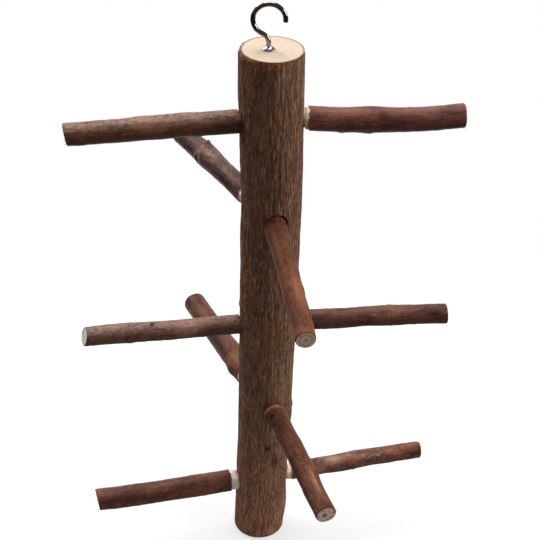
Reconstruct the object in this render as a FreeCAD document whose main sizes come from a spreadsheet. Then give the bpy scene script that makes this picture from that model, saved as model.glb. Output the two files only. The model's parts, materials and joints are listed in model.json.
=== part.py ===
import FreeCAD, Part
import math
import os
import Sketcher
from FreeCAD import Placement, Rotation, Vector

# Parrot climbing frame: a natural log with ten twig perches pegged into drilled sockets
# and a screw hook in its top end. Millimetres, +Z up, origin at the middle of the log's
# lower sawn end. Azimuths are degrees from +X towards +Y, seen from above.

SIZES = {
    # log
    "trunk_length": 400.0,
    "trunk_base_dia": 38.3,
    "trunk_top_dia": 40.4,
    "trunk_bow": 2.5,  # how far the middle of the log stands out towards +X
    "trunk_edge": 1.0,  # bevel of both sawn ends
    # heights of the perches, as shares of the log's length
    "top_level_share": 0.884,
    "upper_back_level_share": 0.7055,
    "upper_front_level_share": 0.717,
    "middle_level_share": 0.490,
    "lower_back_level_share": 0.3105,
    "lower_front_level_share": 0.330,
    "bottom_level_share": 0.121,
    # pegs and their sockets
    "socket_dia": 11.0,
    "socket_depth": 15.0,
    "peg_clearance": 0.05,  # radial
    "peg_end_gap": 0.5,  # between the peg and the bottom of its socket
    "shoulder_clearance": 0.3,  # straight peg left outside the log before the neck widens
    "bark_thickness": 0.8,
    "knot_reach": 12.0,  # half the length of a knot's swelling
    # worn mouth of the upper front socket
    "worn_mouth_dia": 14.6,
    "worn_mouth_depth": 2.5,
    "worn_mouth_shift": 1.1,  # sideways and upwards
    # screw hook
    "hook_offset": -2.4,  # along X from the middle of the log's top
    "hook_wire_dia": 3.1,
    "hook_loop_radius": 9.65,  # of the wire's middle line
    "hook_loop_rise": 18.6,  # loop's middle above the log
    "hook_bend_radius": 7.0,  # where the shank turns into the loop
    "hook_tip_drop": 1.4,  # wire's end below the loop's middle
    "hook_tip_round": 0.8,
    "hook_plain": 3.0,  # plain shank below the log's top
    "thread_length": 16.8,
    "thread_pitch": 1.4,
    "thread_core_dia": 2.1,
    "thread_dia": 3.0,
    "thread_root_share": 0.58,  # thread's width at its foot, of the pitch
    "thread_crest_share": 0.10,
    "thread_sink": 0.1,  # foot of the thread inside the core
    "thread_clearance": 0.18,
    "shank_clearance": 0.25,
    "point_length": 4.0,
    "point_dia": 0.3,
    "point_gap": 1.0,  # below the hook's point
    # collar on the hook's shank
    "collar_dia": 8.4,
    "collar_height": 2.1,
    "collar_dome_radius": 6.3,
    "collar_clearance": 0.05,
    # cutters reach this far past the faces that they open
    "cut_overrun": 2.0,
}

# One row per perch. Length is measured from the log's surface to the sawn tip, bare is
# the whittled stretch outside the log, sag is the twig's rise (or drop) at half length.
PERCHES = {
    "top_left": dict(
        level="top", azimuth=193.0, length=107.0, bare=1.0,
        root=15.0, knot=15.0, tip=14.2, knot_share=0.50, sag=0.3),
    "top_right": dict(
        level="top", azimuth=6.0, length=101.1, bare=3.9,
        root=15.6, knot=16.6, tip=15.4, knot_share=0.39, sag=-2.0),
    "upper_back": dict(
        level="upper_back", azimuth=121.0, length=109.4, bare=17.0,
        root=14.8, knot=16.8, tip=15.2, knot_share=0.60, sag=0.4),
    "upper_front": dict(
        level="upper_front", azimuth=279.3, length=117.3, bare=0.8,
        root=12.7, knot=12.8, tip=12.0, knot_share=0.63, sag=0.3),
    "middle_left": dict(
        level="middle", azimuth=190.0, length=106.6, bare=0.6,
        root=13.6, knot=14.0, tip=13.2, knot_share=0.75, sag=-0.6),
    "middle_right": dict(
        level="middle", azimuth=8.0, length=107.0, bare=0.8,
        root=14.1, knot=14.8, tip=14.0, knot_share=0.62, sag=0.4),
    "lower_back": dict(
        level="lower_back", azimuth=117.0, length=112.3, bare=12.0,
        root=16.8, knot=17.6, tip=16.9, knot_share=0.25, sag=0.3),
    "lower_front": dict(
        level="lower_front", azimuth=289.4, length=106.1, bare=0.8,
        root=12.7, knot=14.6, tip=13.8, knot_share=0.65, sag=0.3),
    "bottom_left": dict(
        level="bottom", azimuth=194.0, length=105.4, bare=5.5,
        root=16.4, knot=16.9, tip=16.2, knot_share=0.27, sag=-0.9),
    "bottom_right": dict(
        level="bottom", azimuth=16.0, length=109.0, bare=3.5,
        root=13.4, knot=14.0, tip=13.1, knot_share=0.47, sag=0.3),
}

# Sections along the log between its two ends.
TRUNK_SHARES = (0.25, 0.5, 0.75)

# Steps between the evenly spaced sections of a twig's limb.
LIMB_STEPS = 8

WORN_PERCH = "upper_front"

doc = FreeCAD.newDocument("parrot_climbing_frame")


def make_sheet():
    """Write every size into a spreadsheet cell with its own alias."""
    sheet = doc.addObject("Spreadsheet::Sheet", "sizes")
    cells = dict(SIZES)
    for perch, row in PERCHES.items():
        for column, value in row.items():
            if column != "level":
                cells[f"{perch}_{column}"] = value
    for number, (alias, value) in enumerate(cells.items(), 1):
        sheet.set(f"A{number}", alias)
        sheet.set(f"B{number}", str(value))
        sheet.setAlias(f"B{number}", alias)
    doc.recompute()


def size(alias):
    """Expression that reads one cell of the sheet."""
    return f"sizes.{alias}"


def bind(item, expressions):
    """Tie several properties of an object to expressions."""
    for path, expression in expressions.items():
        item.setExpression(path, expression)


def level_share(perch):
    """Where a perch stands along the log, as an expression."""
    return size(f"{PERCHES[perch]['level']}_level_share")


def trunk_radius(share):
    """Radius of the log at a share of its length."""
    base, top = size("trunk_base_dia"), size("trunk_top_dia")
    return f"(({base} + ({top} - {base}) * {share}) / 2)"


def trunk_shift(share):
    """Sideways place of the log's middle line at a share of its length."""
    return f"(4 * {size('trunk_bow')} * {share} * (1 - {share}))"


def half(alias):
    """Expression for half of a size."""
    return f"({size(alias)} / 2)"


def origin_plane(body, role):
    """One of the body's own origin planes."""
    return next(item for item in body.Origin.OriginFeatures if item.Role == role)


def new_sketch(body, name, role, turn_axis=Vector(0, 0, 1)):
    """Empty sketch on an origin plane, ready to be moved and turned by expressions."""
    sketch = body.newObject("Sketcher::SketchObject", name)
    sketch.AttachmentSupport = [(origin_plane(body, role), "")]
    sketch.MapMode = "FlatFace"
    sketch.AttachmentOffset = Placement(Vector(), Rotation(turn_axis, 0))
    return sketch


def measure(sketch, constraint, name, expression):
    """Add one driving dimension and tie it to an expression."""
    sketch.renameConstraint(sketch.addConstraint(constraint), name)
    sketch.setExpression(f"Constraints.{name}", expression)


def draw_circle(sketch, radius):
    """Circle about the sketch's origin."""
    sketch.addGeometry(Part.Circle(Vector(), Vector(0, 0, 1), 1), False)
    sketch.addConstraint(Sketcher.Constraint("Coincident", 0, 3, -1, 1))
    measure(sketch, Sketcher.Constraint("Radius", 0, 1), "radius", radius)
    return sketch


def make_loft(body, name, sections, ruled):
    """Solid through a row of section sketches."""
    loft = body.newObject("PartDesign::AdditiveLoft", name)
    loft.Profile = sections[0]
    loft.Sections = sections[1:]
    loft.Ruled = ruled
    loft.Refine = False
    return loft


def pocket(body, sketch, name, depth):
    """Cut a sketch into the body, against the sketch's normal."""
    cut = body.newObject("PartDesign::Pocket", name)
    cut.Profile = sketch
    cut.Refine = False
    cut.setExpression("Length", depth)
    sketch.Visibility = False
    return cut


def make_body(label, place):
    """Body with a label of its own and a placement bound to the sheet."""
    body = doc.addObject("PartDesign::Body", label)
    body.Label = label
    body.Placement = Placement(Vector(), Rotation(Vector(0, 0, 1), 0))
    bind(body, place)
    return body


# The log


def socket_sketch(body, perch, name):
    """Sketch square to a perch's axis, just outside the log."""
    share = level_share(perch)
    azimuth = size(f"{perch}_azimuth")
    out = f"({trunk_radius(share)} + {size('cut_overrun')})"
    sketch = new_sketch(body, name, "YZ_Plane", Vector(0, 1, 0))
    bind(sketch, {
        "AttachmentOffset.Base.x": f"{out} * sin({azimuth})",
        "AttachmentOffset.Base.y": f"{size('trunk_length')} * {share}",
        "AttachmentOffset.Base.z": f"{trunk_shift(share)} + {out} * cos({azimuth})",
        "AttachmentOffset.Rotation.Angle": azimuth,
    })
    return sketch


def cut_socket(body, perch):
    """Drilled socket of one perch."""
    sketch = draw_circle(socket_sketch(body, perch, f"{perch}_mouth"), half("socket_dia"))
    return pocket(body, sketch, f"{perch}_socket", f"{size('socket_depth')} + {size('cut_overrun')}")


def cut_worn_mouth(body, perch):
    """Shallow hollow beside a peg, where the wood round the socket has broken out."""
    sketch = socket_sketch(body, perch, f"{perch}_worn_outline")
    sketch.addGeometry(Part.Circle(Vector(1, 1, 0), Vector(0, 0, 1), 1), False)
    shift = size("worn_mouth_shift")
    measure(sketch, Sketcher.Constraint("DistanceX", -1, 1, 0, 3, 1), "across", shift)
    measure(sketch, Sketcher.Constraint("DistanceY", -1, 1, 0, 3, 1), "up", shift)
    measure(sketch, Sketcher.Constraint("Radius", 0, 1), "radius", half("worn_mouth_dia"))
    depth = f"{size('worn_mouth_depth')} + {size('cut_overrun')}"
    return pocket(body, sketch, f"{perch}_worn_mouth", depth)


def cut_pilot(body, name, radius, depth):
    """Round hole for the hook, from the log's top downwards."""
    sketch = new_sketch(body, f"{name}_outline", "XY_Plane")
    bind(sketch, {
        "AttachmentOffset.Base.x": size("hook_offset"),
        "AttachmentOffset.Base.z": size("trunk_length"),
    })
    return pocket(body, draw_circle(sketch, radius), name, depth)


def log_ring(body, name, height, inset="0"):
    """Round section of the log at a height, drawn in by an inset."""
    share = f"({height} / {size('trunk_length')})"
    sketch = new_sketch(body, name, "XY_Plane")
    bind(sketch, {
        "AttachmentOffset.Base.x": trunk_shift(share),
        "AttachmentOffset.Base.z": height,
    })
    return draw_circle(sketch, f"{trunk_radius(share)} - {inset}")


def make_trunk():
    """Bowed, tapered log with its sockets and the threaded hole for the hook."""
    body = make_body("trunk", {})
    length, edge = size("trunk_length"), size("trunk_edge")
    heights = [edge]
    heights += [f"({length} * {share})" for share in TRUNK_SHARES]
    heights.append(f"({length} - {edge})")
    rings = [log_ring(body, f"ring_{number}", height) for number, height in enumerate(heights)]
    make_loft(body, "log", rings, ruled=False)
    base = log_ring(body, "base_rim", "0", inset=edge)
    make_loft(body, "base_edge", [base, rings[0]], ruled=True)
    top = log_ring(body, "top_rim", length, inset=edge)
    make_loft(body, "top_edge", [rings[-1], top], ruled=True)
    cuts = [cut_socket(body, perch) for perch in PERCHES]
    cuts.append(cut_worn_mouth(body, WORN_PERCH))
    clearance = size("thread_clearance")
    mouth = f"{half('hook_wire_dia')} + {size('shank_clearance')}"
    core = f"{half('thread_core_dia')} + {clearance}"
    depth = " + ".join(size(part) for part in ("hook_plain", "thread_length", "point_length", "point_gap"))
    cuts.append(cut_pilot(body, "shank_hole", mouth, size("hook_plain")))
    cuts.append(cut_pilot(body, "core_hole", core, depth))
    groove = body.newObject("PartDesign::SubtractiveHelix", "thread_groove")
    foot = f"{size('trunk_length')} - {size('hook_plain')} - {size('thread_length')}"
    profile = thread_profile(
        body, "groove_profile", clearance, size("hook_offset"), f"{foot} - {size('thread_pitch')}")
    set_helix(groove, profile, f"{size('thread_length')} + 2 * {size('thread_pitch')}")
    cuts.append(groove)
    doc.recompute()
    check_cuts(cuts)
    return body


def check_cuts(cuts):
    """Stop if a cut took nothing away from the solid before it."""
    for cut in cuts:
        if cut.Shape.Volume >= cut.BaseFeature.Shape.Volume:
            raise RuntimeError(f"{cut.Name} cuts nothing")


# The screw hook


def thread_profile(body, name, clearance, across, height):
    """Section of the thread, with its lowest corner at the given height."""
    sketch = new_sketch(body, name, "XZ_Plane")
    bind(sketch, {
        "AttachmentOffset.Base.x": across,
        "AttachmentOffset.Base.y": f"{height} - {clearance}",
    })
    pitch = size("thread_pitch")
    foot_width = f"({pitch} * {size('thread_root_share')} + 2 * {clearance})"
    crest_width = f"({pitch} * {size('thread_crest_share')} + 2 * {clearance})"
    inner = f"{half('thread_core_dia')} - {size('thread_sink')}"
    outer = f"{half('thread_dia')} + {clearance}"
    corners = (
        (inner, "0"),
        (outer, f"({foot_width} - {crest_width}) / 2"),
        (outer, f"({foot_width} + {crest_width}) / 2"),
        (inner, foot_width),
    )
    points = [Vector(*(float(sketch.evalExpression(place)) for place in corner)) for corner in corners]
    for start, end in zip(points, points[1:] + points[:1]):
        sketch.addGeometry(Part.LineSegment(start, end), False)
    last = len(points) - 1
    for line in range(last):
        sketch.addConstraint(Sketcher.Constraint("Coincident", line, 2, line + 1, 1))
    sketch.addConstraint(Sketcher.Constraint("Coincident", last, 2, 0, 1))
    sketch.addConstraint(Sketcher.Constraint("PointOnObject", 0, 1, -1))
    for line, (out, up) in enumerate(corners):
        point = points[line]
        measure(sketch, Sketcher.Constraint("DistanceX", -1, 1, line, 1, point.x), f"out_{line}", out)
        if line:
            measure(sketch, Sketcher.Constraint("DistanceY", -1, 1, line, 1, point.y), f"up_{line}", up)
    return sketch


def set_helix(helix, profile, height):
    """Run a profile round its own vertical axis, as a right-hand thread."""
    helix.Profile = profile
    helix.ReferenceAxis = (profile, ["V_Axis"])
    helix.Mode = "pitch-height-angle"
    helix.LeftHanded = False
    helix.Reversed = False
    helix.Refine = False
    bind(helix, {"Pitch": size("thread_pitch"), "Height": height})


def hook_spine(body):
    """Middle line of the wire: shank, bend and open loop, from the thread upwards."""
    loop, bend = SIZES["hook_loop_radius"], SIZES["hook_bend_radius"]
    middle = SIZES["hook_plain"] + SIZES["hook_loop_rise"]
    rise = math.sqrt(loop * (loop + 2 * bend))
    shank_end = Vector(0, middle - rise, 0)
    join = math.atan2(rise, bend)
    tip = -math.asin(SIZES["hook_tip_drop"] / loop)
    normal = Vector(0, 0, 1)
    bend_circle = Part.Circle(Vector(-bend, shank_end.y, 0), normal, bend)
    loop_circle = Part.Circle(Vector(0, middle, 0), normal, loop)
    sketch = new_sketch(body, "wire_line", "XZ_Plane")
    sketch.addGeometry(Part.LineSegment(Vector(), shank_end), False)
    sketch.addGeometry(Part.ArcOfCircle(bend_circle, 0, join), False)
    sketch.addGeometry(Part.ArcOfCircle(loop_circle, tip, math.pi + join), False)
    sketch.addConstraint(Sketcher.Constraint("Coincident", 0, 1, -1, 1))
    sketch.addConstraint(Sketcher.Constraint("Vertical", 0))
    sketch.addConstraint(Sketcher.Constraint("Tangent", 0, 2, 1, 1))
    sketch.addConstraint(Sketcher.Constraint("Tangent", 1, 2, 2, 2))
    sketch.addConstraint(Sketcher.Constraint("PointOnObject", 2, 3, -2))
    measure(sketch, Sketcher.Constraint("Radius", 1, bend), "bend", size("hook_bend_radius"))
    measure(sketch, Sketcher.Constraint("Radius", 2, loop), "loop", size("hook_loop_radius"))
    height = f"{size('hook_plain')} + {size('hook_loop_rise')}"
    measure(sketch, Sketcher.Constraint("DistanceY", -1, 1, 2, 3, middle), "middle", height)
    drop = Sketcher.Constraint("DistanceY", 2, 1, 2, 3, SIZES["hook_tip_drop"])
    measure(sketch, drop, "drop", size("hook_tip_drop"))
    return sketch


def add_primitive(body, kind, name, height, expressions):
    """Round primitive standing on the hook's axis at a height."""
    item = body.newObject(f"PartDesign::{kind}", name)
    item.AttachmentSupport = [(origin_plane(body, "XY_Plane"), "")]
    item.MapMode = "FlatFace"
    item.Refine = False
    bind(item, expressions)
    item.setExpression("AttachmentOffset.Base.z", height)
    return item


def make_hook():
    """Bent wire with a cut thread and a point; its own zero is where the thread begins."""
    body = make_body("hook", {
        "Placement.Base.x": size("hook_offset"),
        "Placement.Base.z": f"{size('trunk_length')} - {size('hook_plain')}",
    })
    section = draw_circle(new_sketch(body, "wire_section", "XY_Plane"), half("hook_wire_dia"))
    wire = body.newObject("PartDesign::AdditivePipe", "wire")
    wire.Profile = section
    wire.Spine = hook_spine(body)
    wire.Refine = False
    doc.recompute()
    numbered = enumerate(wire.Shape.Edges, 1)
    rims = [(edge.CenterOfMass.x, number) for number, edge in numbered if edge.isClosed()]
    _, tip_edge = max(rims)
    tip = body.newObject("PartDesign::Fillet", "wire_tip")
    tip.Base = (wire, [f"Edge{tip_edge}"])
    tip.setExpression("Radius", size("hook_tip_round"))
    length, point = size("thread_length"), size("point_length")
    add_primitive(body, "AdditiveCylinder", "core", f"-{length}", {
        "Radius": half("thread_core_dia"),
        "Height": length,
    })
    add_primitive(body, "AdditiveCone", "point", f"-{length} - {point}", {
        "Radius1": half("point_dia"),
        "Radius2": half("thread_core_dia"),
        "Height": point,
    })
    thread = body.newObject("PartDesign::AdditiveHelix", "thread")
    profile = thread_profile(body, "thread_profile", "0", "0", f"-{length}")
    set_helix(thread, profile, f"{length} - {size('thread_pitch')} * {size('thread_root_share')}")
    doc.recompute()
    return body


def make_collar():
    """Domed collar round the shank, flat on the log's top."""
    rim = doc.addObject("Part::Cylinder", "collar_rim")
    bind(rim, {"Radius": half("collar_dia"), "Height": size("collar_height")})
    ball = doc.addObject("Part::Sphere", "collar_ball")
    bind(ball, {
        "Radius": size("collar_dome_radius"),
        "Placement.Base.z": f"{size('collar_height')} - {size('collar_dome_radius')}",
    })
    dome = doc.addObject("Part::Common", "collar_dome")
    dome.Base = rim
    dome.Tool = ball
    bore = doc.addObject("Part::Cylinder", "collar_bore")
    bind(bore, {
        "Radius": f"{half('hook_wire_dia')} + {size('collar_clearance')}",
        "Height": f"{size('collar_height')} + 2 * {size('cut_overrun')}",
        "Placement.Base.z": f"-{size('cut_overrun')}",
    })
    collar = doc.addObject("Part::Cut", "hook_collar")
    collar.Label = "hook_collar"
    collar.Base = dome
    collar.Tool = bore
    bind(collar, {
        "Placement.Base.x": size("hook_offset"),
        "Placement.Base.z": size("trunk_length"),
    })
    return collar


# The perches


def twig_section(body, name, out, radius, up="0"):
    """Round section of a twig, square to its length."""
    sketch = new_sketch(body, name, "YZ_Plane")
    bind(sketch, {"AttachmentOffset.Base.y": up, "AttachmentOffset.Base.z": out})
    return draw_circle(sketch, radius)


def straight_taper(own, along):
    """Diameter of a twig without its knot, at a share of the limb's length."""
    return f"({own['root']} + ({own['tip']} - {own['root']}) * {along})"


def make_perch(perch):
    """Twig with a straight peg, a whittled neck and a gently bent limb with one knot."""
    share = level_share(perch)
    own = {column: size(f"{perch}_{column}") for column in PERCHES[perch] if column != "level"}
    body = make_body(f"{perch}_perch", {
        "Placement.Base.x": trunk_shift(share),
        "Placement.Base.z": f"{size('trunk_length')} * {share}",
        "Placement.Rotation.Angle": own["azimuth"],
    })
    surface = trunk_radius(share)
    peg = f"{half('socket_dia')} - {size('peg_clearance')}"
    peg_start = f"{surface} - {size('socket_depth')} + {size('peg_end_gap')}"
    bark_start = f"({surface} + {own['bare']})"
    neck = [
        twig_section(body, "peg_end", peg_start, peg),
        twig_section(body, "peg_root", f"{surface} + {size('shoulder_clearance')}", peg),
        twig_section(body, "neck_end", bark_start, f"{own['root']} / 2 - {size('bark_thickness')}"),
    ]
    make_loft(body, "peg", neck, ruled=True)
    limb_length = f"({own['length']} - {own['bare']})"
    swelling = f"({own['knot']} - {straight_taper(own, own['knot_share'])})"
    limb = []
    for step in range(LIMB_STEPS + 1):
        along = step / LIMB_STEPS
        beside_knot = f"(({along} - {own['knot_share']}) * {limb_length} / {size('knot_reach')})"
        dia = f"{straight_taper(own, along)} + {swelling} * exp(-({beside_knot} ^ 2))"
        bend = f"4 * {own['sag']} * {along * (1 - along)}"
        out = f"{bark_start} + {limb_length} * {along}"
        limb.append(twig_section(body, f"limb_{step}", out, f"({dia}) / 2", bend))
    make_loft(body, "limb", limb, ruled=False)
    doc.recompute()
    return body


def check_document(pieces):
    """Stop if anything in the document failed or a piece is not one valid solid."""
    for item in doc.Objects:
        if {"Invalid", "Error"} & set(item.State):
            raise RuntimeError(f"{item.Name} did not compute: {item.State}")
    for piece in pieces:
        shape = piece.Shape
        if shape.isNull() or not shape.isValid() or len(shape.Solids) != 1:
            raise RuntimeError(f"{piece.Label} is not one valid solid")


def export(pieces):
    """Write one file for each piece."""
    os.makedirs("parts", exist_ok=True)
    for piece in pieces:
        piece.Shape.exportStep(f"parts/{piece.Label}.step")
        print(piece.Label, round(piece.Shape.Volume, 1))


make_sheet()
parts = [make_trunk(), make_hook(), make_collar()]
parts += [make_perch(perch) for perch in PERCHES]
doc.recompute()
check_document(parts)
export(parts)
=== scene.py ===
"""Parrot climbing frame: a bark-covered log with a screw hook and ten twig perches.

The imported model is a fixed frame, and every piece stands where its solid stands. Metres, +Z up,
origin in the middle of the log's lower sawn end.
"""
import json
import logging
import math
from dataclasses import dataclass
from enum import Enum
from functools import cache
from typing import Any, Callable, Mapping, Optional, Sequence, Union

import bpy
from mathutils import Matrix, Vector


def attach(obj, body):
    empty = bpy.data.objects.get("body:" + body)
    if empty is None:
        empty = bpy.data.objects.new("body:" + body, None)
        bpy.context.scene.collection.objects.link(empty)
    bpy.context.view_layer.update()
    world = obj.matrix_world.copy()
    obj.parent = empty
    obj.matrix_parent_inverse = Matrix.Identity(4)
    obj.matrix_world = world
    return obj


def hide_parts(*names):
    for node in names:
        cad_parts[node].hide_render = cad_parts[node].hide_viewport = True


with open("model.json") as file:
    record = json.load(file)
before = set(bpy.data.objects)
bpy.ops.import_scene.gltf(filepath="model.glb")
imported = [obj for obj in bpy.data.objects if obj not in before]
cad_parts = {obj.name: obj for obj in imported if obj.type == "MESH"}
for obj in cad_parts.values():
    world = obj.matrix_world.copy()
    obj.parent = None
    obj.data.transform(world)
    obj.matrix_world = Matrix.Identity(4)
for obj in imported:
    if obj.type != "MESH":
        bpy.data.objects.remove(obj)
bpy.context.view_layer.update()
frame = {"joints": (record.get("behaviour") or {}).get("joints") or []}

LOG = logging.getLogger("climbing_frame")
MM = 0.001
TURN = 2 * math.pi
UP = Vector((0, 0, 1))

Rgb = tuple[int, int, int]
Operand = Union["Signal", float, int]


def linear(colour: Rgb) -> tuple[float, float, float, float]:
    """Scene-linear RGBA of a screen colour whose channels run from 0 to 255.

    Args:
        colour: Red, green and blue.

    Returns:
        The colour, with an alpha of 1.
    """
    def channel(value: float) -> float:
        """One channel without its display curve."""
        value /= 255
        return value / 12.92 if value <= 0.04045 else ((value + 0.055) / 1.055) ** 2.4
    red, green, blue = (channel(value) for value in colour)
    return red, green, blue, 1.0


def grey(level: float) -> tuple[float, float, float, float]:
    """Scene-linear grey."""
    return level, level, level, 1.0


def ink(tone: Rgb) -> Rgb:
    """Colour of a dark scar in bark, and of the painted shade strips on some twigs: the bark's shade at a
    third of its value.
    """
    red, green, blue = (part // 3 for part in tone)
    return red, green, blue


class TreeKind(Enum):
    """What a node tree makes."""

    SHAPE = "GeometryNodeTree"
    SURFACE = "ShaderNodeTree"


class PortKind(Enum):
    """What a named input or output carries."""

    SHAPE = "NodeSocketGeometry"
    NUMBER = "NodeSocketFloat"
    VECTOR = "NodeSocketVector"
    MATERIAL = "NodeSocketMaterial"


@dataclass(frozen=True)
class Port:
    """A named input or output of a node tree."""

    name: str
    kind: PortKind = PortKind.NUMBER


def math_step(operation: str, signal_last: bool = False) -> Callable[..., "Signal"]:
    """Method of a signal that adds one math node.

    Args:
        operation: What the node works out.
        signal_last: Whether the signal comes after the other value.

    Returns:
        The method.
    """
    def step(signal: "Signal", *others: Operand) -> "Signal":
        """Result of the math node."""
        values = (*others, signal) if signal_last else (signal, *others)
        return signal.graph.math(operation, *values)
    return step


class Signal:
    """A node's output that takes part in formulas.

    Root is the square root, size the value without its sign, above the larger and below the
    smaller of two values.
    """

    def __init__(self, graph: "Graph", socket: bpy.types.NodeSocket) -> None:
        """Keep the socket and the graph that it is in."""
        self.graph = graph
        self.socket = socket

    __add__ = __radd__ = math_step("ADD")
    __sub__, __rsub__ = math_step("SUBTRACT"), math_step("SUBTRACT", True)
    __mul__ = __rmul__ = math_step("MULTIPLY")
    __truediv__, __rtruediv__ = math_step("DIVIDE"), math_step("DIVIDE", True)
    __pow__ = math_step("POWER")
    sin, cos = math_step("SINE"), math_step("COSINE")
    root, size = math_step("SQRT"), math_step("ABSOLUTE")
    above, below = math_step("MAXIMUM"), math_step("MINIMUM")

    def clamp(self) -> "Signal":
        """Value held between 0 and 1."""
        return self.above(0.0).below(1.0)

    def bell(self, reach: Operand) -> "Signal":
        """1 where the value is 0, falling off over a reach to both sides."""
        part = self / reach
        return self.graph.math("EXPONENT", part * part * -1.0)

    def smooth(self, low: Operand, high: Operand) -> "Signal":
        """Soft step from 0 at one value to 1 at another.

        Args:
            low: Value that gives 0.
            high: Value that gives 1; it may be the smaller one.

        Returns:
            The step.
        """
        return self.graph.output(
            "ShaderNodeMapRange", {"Value": self, "From Min": low, "From Max": high},
            interpolation_type="SMOOTHSTEP")

    def stretch(self, factors: tuple[float, float, float]) -> "Signal":
        """Vector with each axis multiplied by its own factor."""
        return self.graph.output("ShaderNodeVectorMath", {0: self, 1: factors}, operation="MULTIPLY")

    def shift(self, other: Union["Signal", tuple[float, float, float]]) -> "Signal":
        """Vector with another one added."""
        return self.graph.output("ShaderNodeVectorMath", {0: self, 1: other}, operation="ADD")

    def length(self) -> "Signal":
        """Length of a vector."""
        return self.graph.output("ShaderNodeVectorMath", {0: self}, pick="Value", operation="LENGTH")

    def parts(self) -> tuple["Signal", "Signal", "Signal"]:
        """The three numbers of a vector."""
        node = self.graph.node("ShaderNodeSeparateXYZ", {0: self})
        return tuple(Signal(self.graph, socket) for socket in node.outputs)


class Graph:
    """A node tree under construction; entry and exit are the nodes of its own inputs and outputs."""

    entry: bpy.types.Node
    exit: bpy.types.Node

    def __init__(self, tree: bpy.types.NodeTree) -> None:
        """Keep the tree."""
        self.tree = tree

    @classmethod
    def group(cls, name: str, kind: TreeKind, inputs: Sequence[Port], outputs: Sequence[Port]) -> "Graph":
        """Start a tree with named inputs and outputs.

        Args:
            name: Name of the tree.
            kind: What the tree makes.
            inputs: Its inputs, in order.
            outputs: Its outputs, in order.

        Returns:
            The graph, with nothing between its inputs and outputs yet.
        """
        tree = bpy.data.node_groups.new(name, kind.value)
        for side, ports in (("INPUT", inputs), ("OUTPUT", outputs)):
            for port in ports:
                tree.interface.new_socket(port.name, in_out=side, socket_type=port.kind.value)
        graph = cls(tree)
        graph.entry = tree.nodes.new("NodeGroupInput")
        graph.exit = tree.nodes.new("NodeGroupOutput")
        return graph

    def find(self, kind: str) -> bpy.types.Node:
        """The node of a type that the tree started with."""
        return next(node for node in self.tree.nodes if node.type == kind)

    def take(self, name: str) -> Signal:
        """One of the tree's own inputs."""
        return Signal(self, self.entry.outputs[name])

    def give(self, name: str, value: Any) -> None:
        """Send a value to one of the tree's outputs."""
        self.plug(value, self.exit.inputs[name])

    def plug(self, value: Any, socket: bpy.types.NodeSocket) -> None:
        """Link a signal to a socket, or write a constant on it.

        Args:
            value: The signal or the constant.
            socket: Input of a node.
        """
        if isinstance(value, Signal):
            self.tree.links.new(value.socket, socket)
        else:
            socket.default_value = value

    def node(self, kind: str, sockets: Optional[Mapping[Any, Any]] = None, **settings: Any) -> bpy.types.Node:
        """Add a node.

        Args:
            kind: Blender's name of the node type.
            sockets: Values for its inputs, by name or number.
            settings: Properties of the node, set before its inputs.

        Returns:
            The new node.
        """
        node = self.tree.nodes.new(kind)
        for name, value in settings.items():
            setattr(node, name, value)
        for key, value in (sockets or {}).items():
            self.plug(value, node.inputs[key])
        return node

    def output(self, kind: str, sockets: Optional[Mapping[Any, Any]] = None, pick: Any = 0,
               **settings: Any) -> Signal:
        """Add a node and take one of its outputs, by name or number."""
        return Signal(self, self.node(kind, sockets, **settings).outputs[pick])

    def math(self, operation: str, *values: Operand) -> Signal:
        """Result of a math node."""
        return self.output("ShaderNodeMath", dict(enumerate(values)), operation=operation)

    def vector(self, x: Operand, y: Operand, z: Operand) -> Signal:
        """Vector of three numbers."""
        return self.output("ShaderNodeCombineXYZ", {0: x, 1: y, 2: z})

    def blend(self, share: Operand, first: Any, second: Any) -> Signal:
        """Mix of two numbers, or of two colours where either has four channels.

        Args:
            share: How much of the second one.
            first: What shows at 0.
            second: What shows at 1.

        Returns:
            The mixed number or colour.
        """
        def is_colour(value: Any) -> bool:
            """Whether a value is a colour."""
            return value.socket.type == "RGBA" if isinstance(value, Signal) else isinstance(value, tuple)
        kind, tail = ("RGBA", "Color") if is_colour(first) or is_colour(second) else ("FLOAT", "Float")
        node = self.node("ShaderNodeMix", data_type=kind)
        by_name = {socket.identifier: socket for socket in node.inputs}
        for name, value in (("Factor_Float", share), (f"A_{tail}", first), (f"B_{tail}", second)):
            self.plug(value, by_name[name])
        result = next(socket for socket in node.outputs if socket.identifier == f"Result_{tail}")
        return Signal(self, result)

    def noise(self, place: Signal, scale: float, detail: float = 2.0, rough: float = 0.5) -> Signal:
        """Soft noise from 0 to 1.

        Args:
            place: Where it is read.
            scale: Lumps for each metre.
            detail: Finer layers on top.
            rough: Strength of the finer layers.

        Returns:
            The noise value.
        """
        return self.output("ShaderNodeTexNoise", {
            "Vector": place, "Scale": scale, "Detail": detail, "Roughness": rough})

    def cells(self, place: Signal, scale: float, feature: str = "F1") -> Signal:
        """Distances of a cell pattern."""
        return self.output(
            "ShaderNodeTexVoronoi", {"Vector": place, "Scale": scale}, "Distance", feature=feature)

    def attribute(self, name: str, pick: str = "Fac") -> Signal:
        """A value stored on the piece's own mesh, for a material."""
        return self.output("ShaderNodeAttribute", pick=pick, attribute_name=name)

    def use(self, group: bpy.types.NodeTree, values: Mapping[str, Any]) -> list[Signal]:
        """Place a surface group in a material and take all its outputs."""
        node = self.node("ShaderNodeGroup", values, node_tree=group)
        return [Signal(self, socket) for socket in node.outputs]

    def coats(self, ground: Rgb, *coats: tuple[Operand, Rgb]) -> Signal:
        """Lay screen colours one after another over a ground, each as far as its share says.

        Args:
            ground: Colour of the ground.
            coats: Share and colour of each coat.

        Returns:
            The colour of all coats together.
        """
        colour: Any = linear(ground)
        for share, tone in coats:
            colour = self.blend(share, colour, linear(tone))
        return colour


# Pieces


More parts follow.
